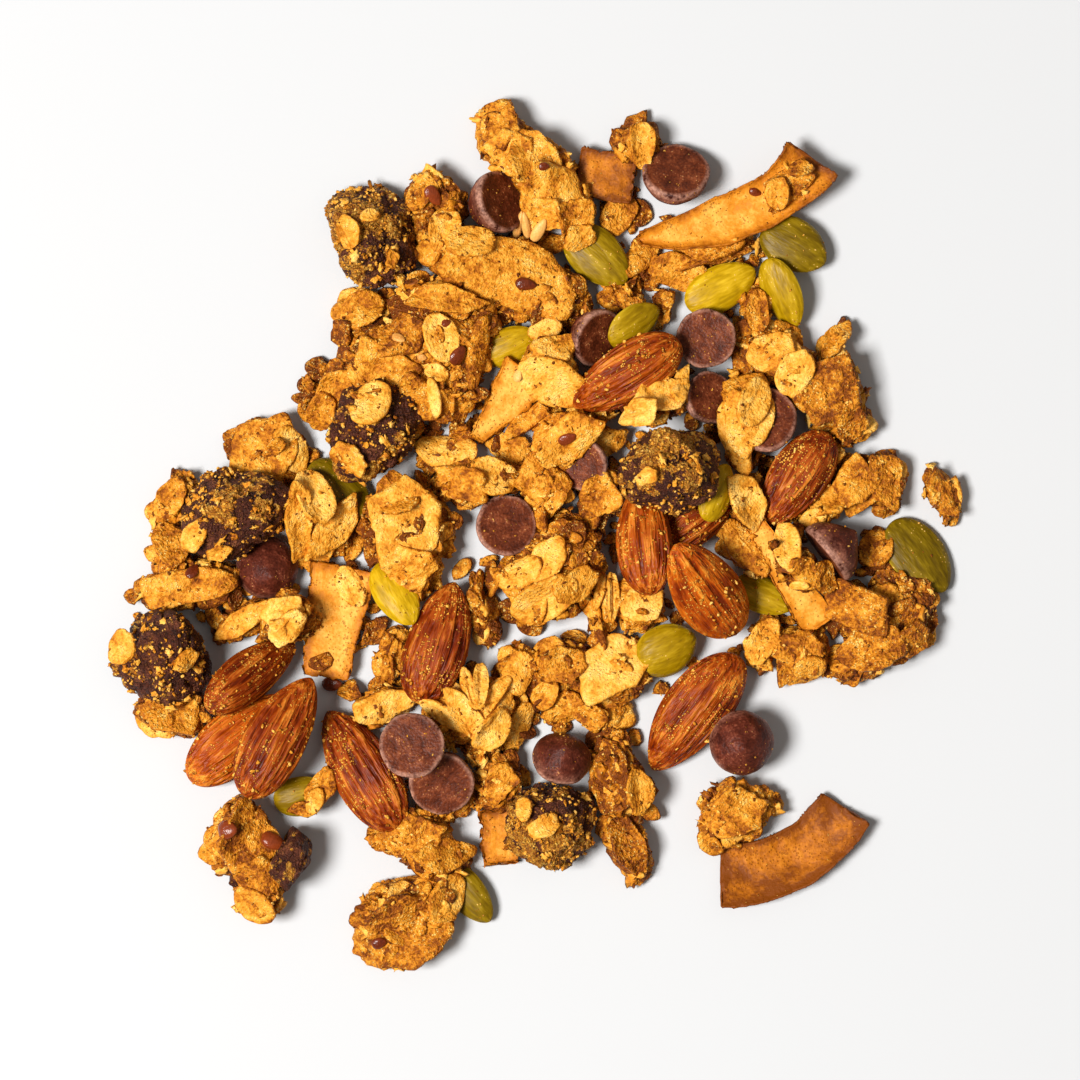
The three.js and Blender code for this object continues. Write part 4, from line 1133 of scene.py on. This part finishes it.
flakeList = [
    # photo x and y, long and wide in mm, turn, tone from brown to pale, corners
    (425, 190, 7, 5, 100, 0.6, 1), (446, 232, 8, 5.5, 80, 0.7, 0), (428, 252, 7, 4.5, 20, 0.6, 1),
    (500, 128, 10, 8, 110, 0.55, 1), (512, 156, 9, 7, 130, 0.7, 1), (534, 164, 13, 10, 128, 0.66, 1),
    (556, 196, 13, 9.5, 128, 0.7, 1), (541, 216, 9, 7, 160, 0.72, 1), (575, 224, 10, 7, 118, 0.6, 1),
    (515, 279, 26, 12, -22, 0.62, 0.6), (471, 244, 8.5, 6, 10, 0.75, 0), (450, 301, 16, 5, -8, 0.6, 1),
    (363, 311, 8.5, 6.5, 30, 0.6, 0.4), (388, 370, 13, 9, -25, 0.6, 1), (400, 335, 9, 8, 50, 0.45, 1),
    (442, 340, 8.5, 6, -75, 0.85, 0), (478, 352, 13, 4, 85, 0.45, 0.6),
    (418, 398, 10, 5.5, -65, 0.45, 0.5), (435, 399, 7, 2.4, -80, 0.9, 0), (437, 374, 4.5, 3, -20, 0.85, 0),
    (335, 392, 9, 6, 60, 0.6, 0.5), (322, 412, 8, 5, 70, 0.5, 0.5), (413, 431, 5, 3.5, 60, 0.45, 0),
    (447, 450, 10.5, 6.8, -5, 0.8, 0), (508, 447, 9, 6, -10, 0.68, 1), (527, 420, 9, 3.6, 35, 0.6, 1),
    (545, 331, 6, 4, 15, 0.85, 0), (556, 350, 9, 5, 20, 0.7, 1), (566, 441, 12, 7.5, 38, 0.75, 0.8),
    (493, 477, 9, 6.5, -10, 0.78, 0.3), (462, 484, 10, 6, -10, 0.6, 1), (545, 483, 10, 8, -40, 0.6, 1),
    (399, 495, 9, 8, 40, 0.55, 1), (612, 440, 7, 5, 20, 0.7, 1), (600, 485, 7, 5, 20, 0.5, 0),
    (722, 528, 8, 3.4, -20, 0.75, 0.4), (735, 548, 9, 5, -50, 0.62, 0.8), (822, 576, 8, 5, -50, 0.42, 1),
    (812, 518, 5, 3.4, 25, 0.85, 0), (828, 500, 8, 6, 30, 0.7, 1), (856, 490, 8, 7, 60, 0.5, 1),
    (875, 548, 8, 6.4, 70, 0.5, 0.5), (856, 606, 13, 8, -10, 0.45, 1), (868, 650, 14, 8, 10, 0.42, 0.8),
    (912, 640, 8, 6, 30, 0.4, 0.8), (800, 652, 9, 8, 0, 0.55, 1), (808, 668, 6, 5, 20, 0.6, 0.3),
    (762, 640, 9, 5, 65, 0.7, 0.4), (643, 602, 7.5, 6.5, 60, 0.92, 0.4), (634, 588, 8, 6, 20, 0.6, 1),
    (608, 600, 8, 2, 80, 0.72, 0), (599, 592, 7, 1.8, 75, 0.72, 0), (612, 668, 13.5, 11, 40, 0.92, 0.8),
    (266, 450, 14, 12, 50, 0.62, 1), (292, 450, 9, 5.6, -58, 0.8, 0), (315, 493, 8.6, 6.6, 100, 0.84, 0),
    (318, 545, 11, 6, 62, 0.6, 0.8), (406, 522, 15, 13, 90, 0.8, 1), (412, 568, 10, 9, 60, 0.74, 1),
    (172, 500, 8, 5, 60, 0.55, 0.4), (172, 545, 8, 6, 110, 0.5, 0.4), (185, 585, 17, 7, 12, 0.6, 0.8),
    (245, 620, 12, 4, 35, 0.65, 0.4), (172, 708, 12, 8.4, -14, 0.55, 1), (548, 560, 9, 6.4, 60, 0.8, 0.4),
    (545, 598, 13, 7.4, 40, 0.78, 0), (575, 585, 9, 6, 20, 0.66, 0.6), (520, 572, 9, 5, 20, 0.75, 0),
    (602, 495, 8, 6, 80, 0.6, 1), (470, 712, 11, 8, 30, 0.7, 1), (448, 696, 9, 5, 160, 0.8, 0),
    (496, 700, 9, 5, 60, 0.8, 0), (519, 671, 8, 5, 80, 0.72, 0.6), (563, 665, 8.6, 7.5, 30, 0.6, 1),
    (411, 833, 13, 8, 10, 0.5, 1), (444, 852, 11, 6, 8, 0.55, 0.6), (405, 925, 17, 14, 36, 0.4, 0.8),
    (447, 897, 9, 6.4, 50, 0.7, 0), (245, 838, 13, 10, 60, 0.5, 1), (262, 880, 11, 8.6, 110, 0.5, 1),
    (256, 903, 8, 5.6, 140, 0.6, 0), (612, 780, 14, 7.6, -74, 0.26, 0.8), (629, 846, 12, 6, -64, 0.3, 0.8),
    (733, 812, 13, 9, 20, 0.6, 1), (500, 782, 8, 6.4, 60, 0.6, 1), (700, 255, 16, 4.4, 12, 0.5, 0.4),
    (678, 272, 9.6, 6.4, -20, 0.6, 0.4), (642, 146, 8, 7, 100, 0.6, 1), (619, 214, 8, 6, 60, 0.55, 0.4),
    (640, 256, 9, 5, 50, 0.5, 0.4), (771, 352, 9, 7, 10, 0.7, 0.3), (792, 374, 8.6, 6.6, 70, 0.85, 0.5),
    (826, 392, 12, 10, 60, 0.42, 1), (850, 423, 8, 6.6, 100, 0.4, 1), (836, 340, 8.6, 4.4, 62, 0.55, 0.6),
    (823, 459, 7.6, 5.6, 40, 0.5, 0.6), (853, 482, 8.8, 6.4, 80, 0.55, 0.4),
    (884, 481, 9.6, 7, 100, 0.5, 0.8), (943, 496, 10, 4.8, 122, 0.5, 0.8),
    (757, 312, 8.6, 4, 88, 0.5, 0.4), (746, 548, 11, 5.6, -48, 0.6, 0.6), (566, 708, 8.4, 6, 20, 0.6, 0.6),
    (590, 716, 7, 5, -20, 0.5, 0.8), (520, 724, 8, 5, 70, 0.66, 0.3), (545, 694, 6, 4.4, 60, 0.62, 0),
]

onTopList = [
    # the ones that lie over almonds, chips, seeds, coconut and cocoa clusters
    (300, 523, 15, 5.4, -79, 0.74, 0.8), (333, 528, 14.5, 5.8, 57, 0.76, 0.8),
    (316, 497, 9.9, 6.7, -78, 0.88, 0), (372, 404, 8.8, 6.6, 70, 0.86, 0),
    (351, 460, 7.4, 5.6, -30, 0.66, 0.8), (351, 236, 6.4, 4, 100, 0.72, 0.5),
    (372, 219, 3.6, 2.4, 20, 0.8, 0), (394, 262, 3.4, 2.4, 60, 0.7, 1), (199, 537, 6, 4.6, 60, 0.75, 0.8),
    (222, 552, 4.6, 3, 20, 0.75, 0.8), (125, 646, 7, 5, 80, 0.74, 0.4), (190, 660, 5.4, 4, 40, 0.66, 0.8),
    (644, 478, 4.4, 3.6, 10, 0.84, 1), (660, 398, 12, 6, 14, 0.94, 1), (640, 412, 8, 5, 40, 0.9, 0.8),
    (680, 388, 8, 3.4, 70, 0.9, 1), (552, 383, 12, 8.6, -35, 0.84, 0), (545, 822, 6, 4.4, 30, 0.8, 0.8),
    (524, 806, 4.4, 3, 100, 0.72, 0), (745, 502, 10.5, 6.6, -66, 0.86, 0.7),
    (785, 546, 9.4, 4.8, -75, 0.82, 0), (801, 572, 8.6, 5, -50, 0.56, 0.8),
    (797, 585, 3.6, 1.8, 10, 0.9, 0), (285, 612, 8, 6, 20, 0.94, 1), (297, 623, 7, 5, 70, 0.86, 1),
    (280, 632, 6.4, 3.6, 100, 0.95, 0.8), (384, 705, 11.6, 5.8, 15, 0.86, 0.8),
    (733, 440, 13, 4.8, -72, 0.78, 0.3), (757, 420, 9.4, 5, 75, 0.8, 0), (744, 392, 9, 6, 20, 0.6, 0.8),
    (351, 586, 7.6, 4.6, -62, 0.84, 0), (580, 240, 6.4, 5, 30, 0.72, 0.8),
    (322, 662, 5, 3.4, 20, 0.34, 0.8), (788, 186, 8.6, 6, 30, 0.5, 0.8), (776, 196, 6, 4.4, 80, 0.62, 0.4),
    (799, 172, 5, 3.6, 10, 0.5, 0.6), (641, 146, 9, 4.6, 95, 0.7, 0.6), (739, 424, 13, 6, 96, 0.7, 0.5),
    (752, 404, 9, 5.6, 60, 0.8, 0), (470, 688, 8, 2.6, 100, 0.82, 0), (481, 683, 9, 2.6, 84, 0.86, 0),
    (496, 695, 9, 2.6, 62, 0.8, 0), (443, 713, 9, 3.2, -28, 0.84, 0), (467, 714, 12, 4.6, -52, 0.76, 0.4),
    (492, 728, 8.4, 6, 50, 0.84, 0.3), (638, 790, 8, 5, 95, 0.62, 0), (322, 786, 8, 5.4, 58, 0.5, 0.8),
    (306, 806, 6, 3.6, 20, 0.42, 0.8), (316, 800, 5, 3, 70, 0.7, 0), (276, 448, 5, 3, 40, 0.5, 0.8),
    (570, 441, 12.6, 8.6, 38, 0.68, 0.9), (612, 596, 9, 2, 84, 0.8, 0),
]

flakeMeshes = []
throw = np.random.default_rng(5)


def tilted(matrix, lean):
    away = throw.uniform(0, 2 * math.pi)
    return matrix @ Matrix.Rotation(lean, 4, Vector((math.cos(away), math.sin(away), 0)))


def layFlake(x, y, long, wide, turn, tone, corners, lean, fineness, sink=0.35, onToppings=False, press=0.72):
    seed = len(flakeMeshes) + 1
    thick = 0.55 + 0.03 * long + 0.3 * corners
    crease = 0.0
    if corners < 0.3:  # a whole oat
        crease = 0.22 if long > 6 else 0.1
    mesh = slabMesh(long, wide, thick, corners, seed, fineness, crease, throw.uniform(-1, 1.2))
    setTone(mesh, tone)
    shiftOwn(mesh, (0.05 * seed, 0.02 * seed, 0))
    mesh.transform(tilted(restOn(x, y, long * mm, wide * mm, turn, onToppings, sink, press=press), lean))
    liftOff(mesh)
    keepSurface(mesh)
    flakeMeshes.append(mesh)


# where a topping shows in the heap, on a grid of half millimetres
heapTree = cadTree("oat_heap")
grid = {"step": 0.5 * mm, "x": cadBox[0][0], "y": cadBox[0][1], "cells": 300}
shown = np.zeros((grid["cells"], grid["cells"]), bool)


def cellOf(x, y):
    i, j = int((x - grid["x"]) / grid["step"]), int((y - grid["y"]) / grid["step"])
    return min(grid["cells"] - 1, max(0, i)), min(grid["cells"] - 1, max(0, j))


for sx, sy, reach, tree, topping in surfaces:
    if not topping:
        continue
    for x in np.arange(sx - reach, sx + reach, grid["step"]):
        for y in np.arange(sy - reach, sy + reach, grid["step"]):
            top = tree.ray_cast(Vector((x, y, skyHigh)), Vector((0, 0, -1)))[0]
            if top:
                over = heapTree.ray_cast(Vector((x, y, skyHigh)), Vector((0, 0, -1)))[0]
                if not over or over.z < top.z:
                    shown[cellOf(x, y)] = True


def hidesTopping(x, y, long, wide, turn):
    # looks at ten places near its rim
    c, s = math.cos(turn), math.sin(turn)
    hits = 0
    for k in range(10):
        u, w = math.cos(k * 0.628) * long * 0.42, math.sin(k * 0.628) * wide * 0.42
        hits += shown[cellOf(x + (c * u - s * w) * mm, y + (s * u + c * w) * mm)]
    return hits > 1


# oats stuck all over the lumps, every which way
crowd = {
    # one to so many square mm, and how it is cut and laid
    "area": 15.0, "long": (4.6, 7.8), "slim": (0.55, 0.8), "tone": (0.25, 0.85), "lean": (0.1, 0.5),
}
for mesh, row in zip(lumpSkins, [row for rows in lumps.values() for row in rows]):
    x, y, long, wide, high, turn, lift = row
    for _ in range(max(2, int(long * wide / crowd["area"]))):
        a, r = throw.uniform(0, 2 * math.pi), math.sqrt(throw.uniform(0, 1)) * 0.42
        c, s = math.cos(math.radians(turn)), math.sin(math.radians(turn))
        u, w = math.cos(a) * r * long, math.sin(a) * r * wide
        size = throw.uniform(*crowd["long"])
        slim, spin = size * throw.uniform(*crowd["slim"]), throw.uniform(0, 6.28)
        fx, fy = (x + c * u - s * w) * mm, (y + s * u + c * w) * mm
        if hidesTopping(fx, fy, size, slim, spin):
            size, slim = size * 0.5, slim * 0.5
            if hidesTopping(fx, fy, size, slim, spin):
                continue
        layFlake(fx, fy, size, slim, spin, throw.uniform(*crowd["tone"]), throw.choice([0.0, 0.3, 0.8, 1.0]),
                 throw.uniform(*crowd["lean"]), 3 if size > 3.4 else 2, 0.5)
stuck = len(flakeMeshes)
print("oats on the lumps:", stuck)

# small pieces wherever the heap is higher than what lies there so far
filling = {
    "tries": 5200, "shortfall": 0.9, "overTopping": 2.5, "lowest": 0.8,
    "long": (3.0, 6.4), "slim": (0.5, 0.85), "tone": (0.05, 0.6), "lean": (0.1, 0.6),
}
low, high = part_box("oat_heap")
for _ in range(filling["tries"]):
    x, y = throw.uniform(low.x, high.x), throw.uniform(low.y, high.y)
    hit = heapTree.ray_cast(Vector((x, y, skyHigh)), Vector((0, 0, -1)))[0]
    if not hit or hit.z < filling["lowest"] * mm or heightAt(x, y) > hit.z - filling["shortfall"] * mm:
        continue
    if heightAt(x, y, True) > hit.z + filling["overTopping"] * mm:
        continue
    size = throw.uniform(*filling["long"])
    slim, spin = size * throw.uniform(*filling["slim"]), throw.uniform(0, 6.28)
    if hidesTopping(x, y, size, slim, spin):
        size, slim = size * 0.5, slim * 0.5
    # these low pieces get the darkest tones: partly toasted crumbs, partly painted shade in the hollows
    layFlake(x, y, size, slim, spin, throw.uniform(*filling["tone"]), throw.choice([0.0, 0.6, 1.0]),
             throw.uniform(*filling["lean"]), 3 if size > 3.8 else 2, 0.2)
half = len(flakeMeshes)
print("hollows filled:", half - stuck)

for px, py, long, wide, turn, tone, corners in flakeList:
    layFlake(*spot(px, py), long, wide, math.radians(turn), tone, corners, throw.uniform(0, 0.12),
             4 if long > 7 else 3, 0.0, press=0.9)
for px, py, long, wide, turn, tone, corners in onTopList:
    layFlake(*spot(px, py), long, wide, math.radians(turn), tone, corners, throw.uniform(0, 0.1),
             4 if long > 6 else 3, -0.15, True, 0.96)
flakeSkins = [m.copy() for m in flakeMeshes[:half]]
for mesh, row in zip(flakeMeshes[half:], flakeList + onTopList):
    if row[5] < 0.9:  # the palest stay clean
        flakeSkins.append(mesh.copy())
finishPiece("oats.stuck", joinAll("stuckFlakes", flakeMeshes[:stuck]), "oat", "oat")
finishPiece("oats.broken", joinAll("brokenFlakes", flakeMeshes[stuck:half]), "oat", "oat")
finishPiece("oats.flakes", joinAll("flakes", flakeMeshes[half:]), "oat", "oat")
print("flakes and slabs:", len(flakeList) + len(onTopList))

# flax seeds, sesame and slivers of grain lie on the slabs
grainRows = {
    # photo x and y, long, wide and thick in mm, turn
    "flax": [
        (526, 286, 3.6, 2.1, 1.2, -8), (459, 357, 3.6, 2.6, 1.3, 60), (447, 325, 1.6, 1.2, 0.8, 20),
        (567, 440, 3.2, 2, 1, 30), (434, 198, 3.8, 2.4, 1.2, -50), (195, 571, 3, 2, 1, 60),
        (544, 170, 1.8, 1.4, 0.8, 0), (754, 194, 2.2, 1.4, 0.9, -20), (231, 827, 3.6, 3.2, 2, 0),
        (275, 839, 4.2, 3, 1.9, -20), (380, 941, 2.6, 2, 1.1, 20), (332, 684, 3.6, 2.4, 1.5, 10),
    ],
    "sesame": [
        (400, 340, 2.4, 1.5, 0.9, -30), (519, 226, 5.4, 1.5, 1.5, 84), (526, 227, 5, 1.4, 1.5, 96),
        (539, 232, 4.6, 2, 1.5, 68), (518, 377, 2.2, 1.6, 1, 70), (423, 359, 1.6, 1.2, 0.8, 0),
    ],
}
for kind, rows in grainRows.items():
    meshes = []
    for index, (px, py, long, wide, thick, turn) in enumerate(rows):
        bm = roundForm(around=28, along=16)
        for v in bm.verts:
            taper = 1 - 0.22 * v.co.x
            v.co = Vector((v.co.x * long, v.co.y * wide * taper, v.co.z * thick * taper)) * mm / 2
            v.co += v.co.normalized() * 0.08 * mm * wave(v.co.x * 900, v.co.y * 2400, index)
        mesh = meshFrom(bm, kind, 0.3 + 0.1 * index % 0.5)
        x, y = spot(px, py)
        mesh.transform(restOn(x, y, long * mm, wide * mm, math.radians(turn), True, -0.12 * thick))
        liftOff(mesh)
        meshes.append(mesh)
    finishPiece("grains." + kind, joinAll(kind, meshes), kind, "oat")
print("small seeds:", sum(len(rows) for rows in grainRows.values()))


def scatterOn(meshes, count, level, dice):
    # even random places on the upward faces: point, normal
    corners = []
    for mesh in meshes:
        mesh.calc_loop_triangles()
        ids = np.zeros(len(mesh.loop_triangles) * 3, int)
        mesh.loop_triangles.foreach_get("vertices", ids)
        corners.append(pointsOf(mesh)[ids.reshape(-1, 3)])
    corners = np.concatenate(corners)
    across = np.cross(corners[:, 1] - corners[:, 0], corners[:, 2] - corners[:, 0])
    areas = np.linalg.norm(across, axis=1)
    normals = across / np.maximum(areas, 1e-15)[:, None]
    areas = areas * (normals[:, 2] > level)
    middles = corners.mean(1) * 330
    areas = areas * [max(0.12, 0.5 + 1.6 * noise.noise(Vector(m))) for m in middles]  # they lie in drifts
    pick = dice.choice(len(areas), count, p=areas / areas.sum())
    a, b = dice.random(count), dice.random(count)
    flip = a + b > 1
    a, b = np.where(flip, 1 - a, a), np.where(flip, 1 - b, b)
    c = corners[pick]
    points = c[:, 0] + a[:, None] * (c[:, 1] - c[:, 0]) + b[:, None] * (c[:, 2] - c[:, 0])
    return [(Vector(p), Vector(n)) for p, n in zip(points, normals[pick])]


def crumbForms(count, fineness, flat, rough):
    forms = []
    for index in range(count):
        bm = bmesh.new()
        bmesh.ops.create_icosphere(bm, subdivisions=fineness, radius=0.5)
        own = bm.verts.layers.float_vector.new("own")
        for v in bm.verts:
            v.co *= 1 + rough * wave(v.co.x * 3 + index * 5, v.co.y * 3, v.co.z * 3, 1) * 2
            v.co.z *= flat
            v[own] = v.co * mm
        forms.append(meshFrom(bm, "crumb", keepOwn=True))
    return forms


def sprinkle(forms, places, sizes, tones, dice, lean=0.6):
    meshes = []
    for (point, normal), size, tone in zip(places, sizes, tones):
        mesh = forms[dice.integers(len(forms))].copy()
        way = (normal + Vector(dice.normal(0, lean, 3))).normalized()
        spin = Matrix.Rotation(dice.uniform(0, 6.28), 4, "Z")
        turn = way.to_track_quat("Z", "X").to_matrix().to_4x4() @ spin
        stretch = Matrix.Diagonal((size * dice.uniform(0.8, 1.35), size * dice.uniform(0.6, 1.0), size, 1))
        shiftOwn(mesh, dice.uniform(0, 1, 3))
        setTone(mesh, tone)
        point = point + normal * size * 0.12
        point.z = max(point.z, size * 0.6)
        mesh.transform(Matrix.Translation(point) @ turn @ stretch)
        if point.z < 2.5 * size:
            liftOff(mesh)
        meshes.append(mesh)
    return meshes


crumbs = {
    # how many of each, and from what to what size in mm
    "shards": 1300, "onLumps": 3200, "onFlakes": 4800, "flecks": 36,
    "shardSize": (0.9, 2.4), "grainSize": (0.25, 0.7), "fleckSize": (0.6, 1.7),
}
shardForms = crumbForms(8, 2, 0.42, 0.7)
many = crumbs["shards"]
places = scatterOn(lumpSkins, many, 0.1, throw)
grades, tones = throw.uniform(*crumbs["shardSize"], many) * mm, throw.uniform(0.15, 0.9, many)
shards = sprinkle(shardForms, places, grades, tones, throw, 0.5)
finishPiece("crumbs.shards", joinAll("shards", shards), "oat", "oat")
grainForms = crumbForms(6, 1, 0.8, 0.5)
places = scatterOn(lumpSkins, crumbs["onLumps"], 0.0, throw)
places += scatterOn(flakeSkins, crumbs["onFlakes"], 0.2, throw)
many = len(places)
grades, tones = throw.uniform(*crumbs["grainSize"], many) * mm, throw.uniform(0.1, 1.0, many)
grains = sprinkle(grainForms, places, grades, tones, throw)
finishPiece("crumbs.grains", joinAll("grains", grains), "oat", "oat")
print("crumbs scattered")

# golden dust that clings to the smooth pieces: how many grains on each, the largest in mm
dusted = {
    "almond.": (150, 0.8), "chip.": (22, 0.45), "pumpkin_seed.": (16, 0.45), "coconut.": (40, 0.45),
    "cocoa.": (330, 0.8),
}
finest = 0.16  # the smallest in mm
dust = []
for piece in list(bpy.data.objects):
    for start, (count, big) in dusted.items():
        if piece.name.startswith(start):
            crusted = start == "cocoa."
            places = scatterOn([piece.data], count, 0.0 if crusted else 0.2, throw)
            grades = finest + (big - finest) * throw.random(count) ** (1.5 if crusted else 3)
            dust += sprinkle(grainForms, places, grades * mm, throw.uniform(0.3, 0.95, count), throw)
finishPiece("crumbs.dust", joinAll("dust", dust), "oat", "oat")
flecks = []
many = crumbs["flecks"]
for label in cocoas:
    places = scatterOn([bpy.data.objects["cocoa." + label].data], many, 0.1, throw)
    grades, tones = throw.uniform(*crumbs["fleckSize"], many) * mm, throw.uniform(0.4, 0.95, many)
    flecks += sprinkle(shardForms, places, grades, tones, throw, 0.2)
finishPiece("crumbs.flecks", joinAll("flecks", flecks), "oat", "oat")
print("dust and flecks:", len(dust), "and", len(flecks))
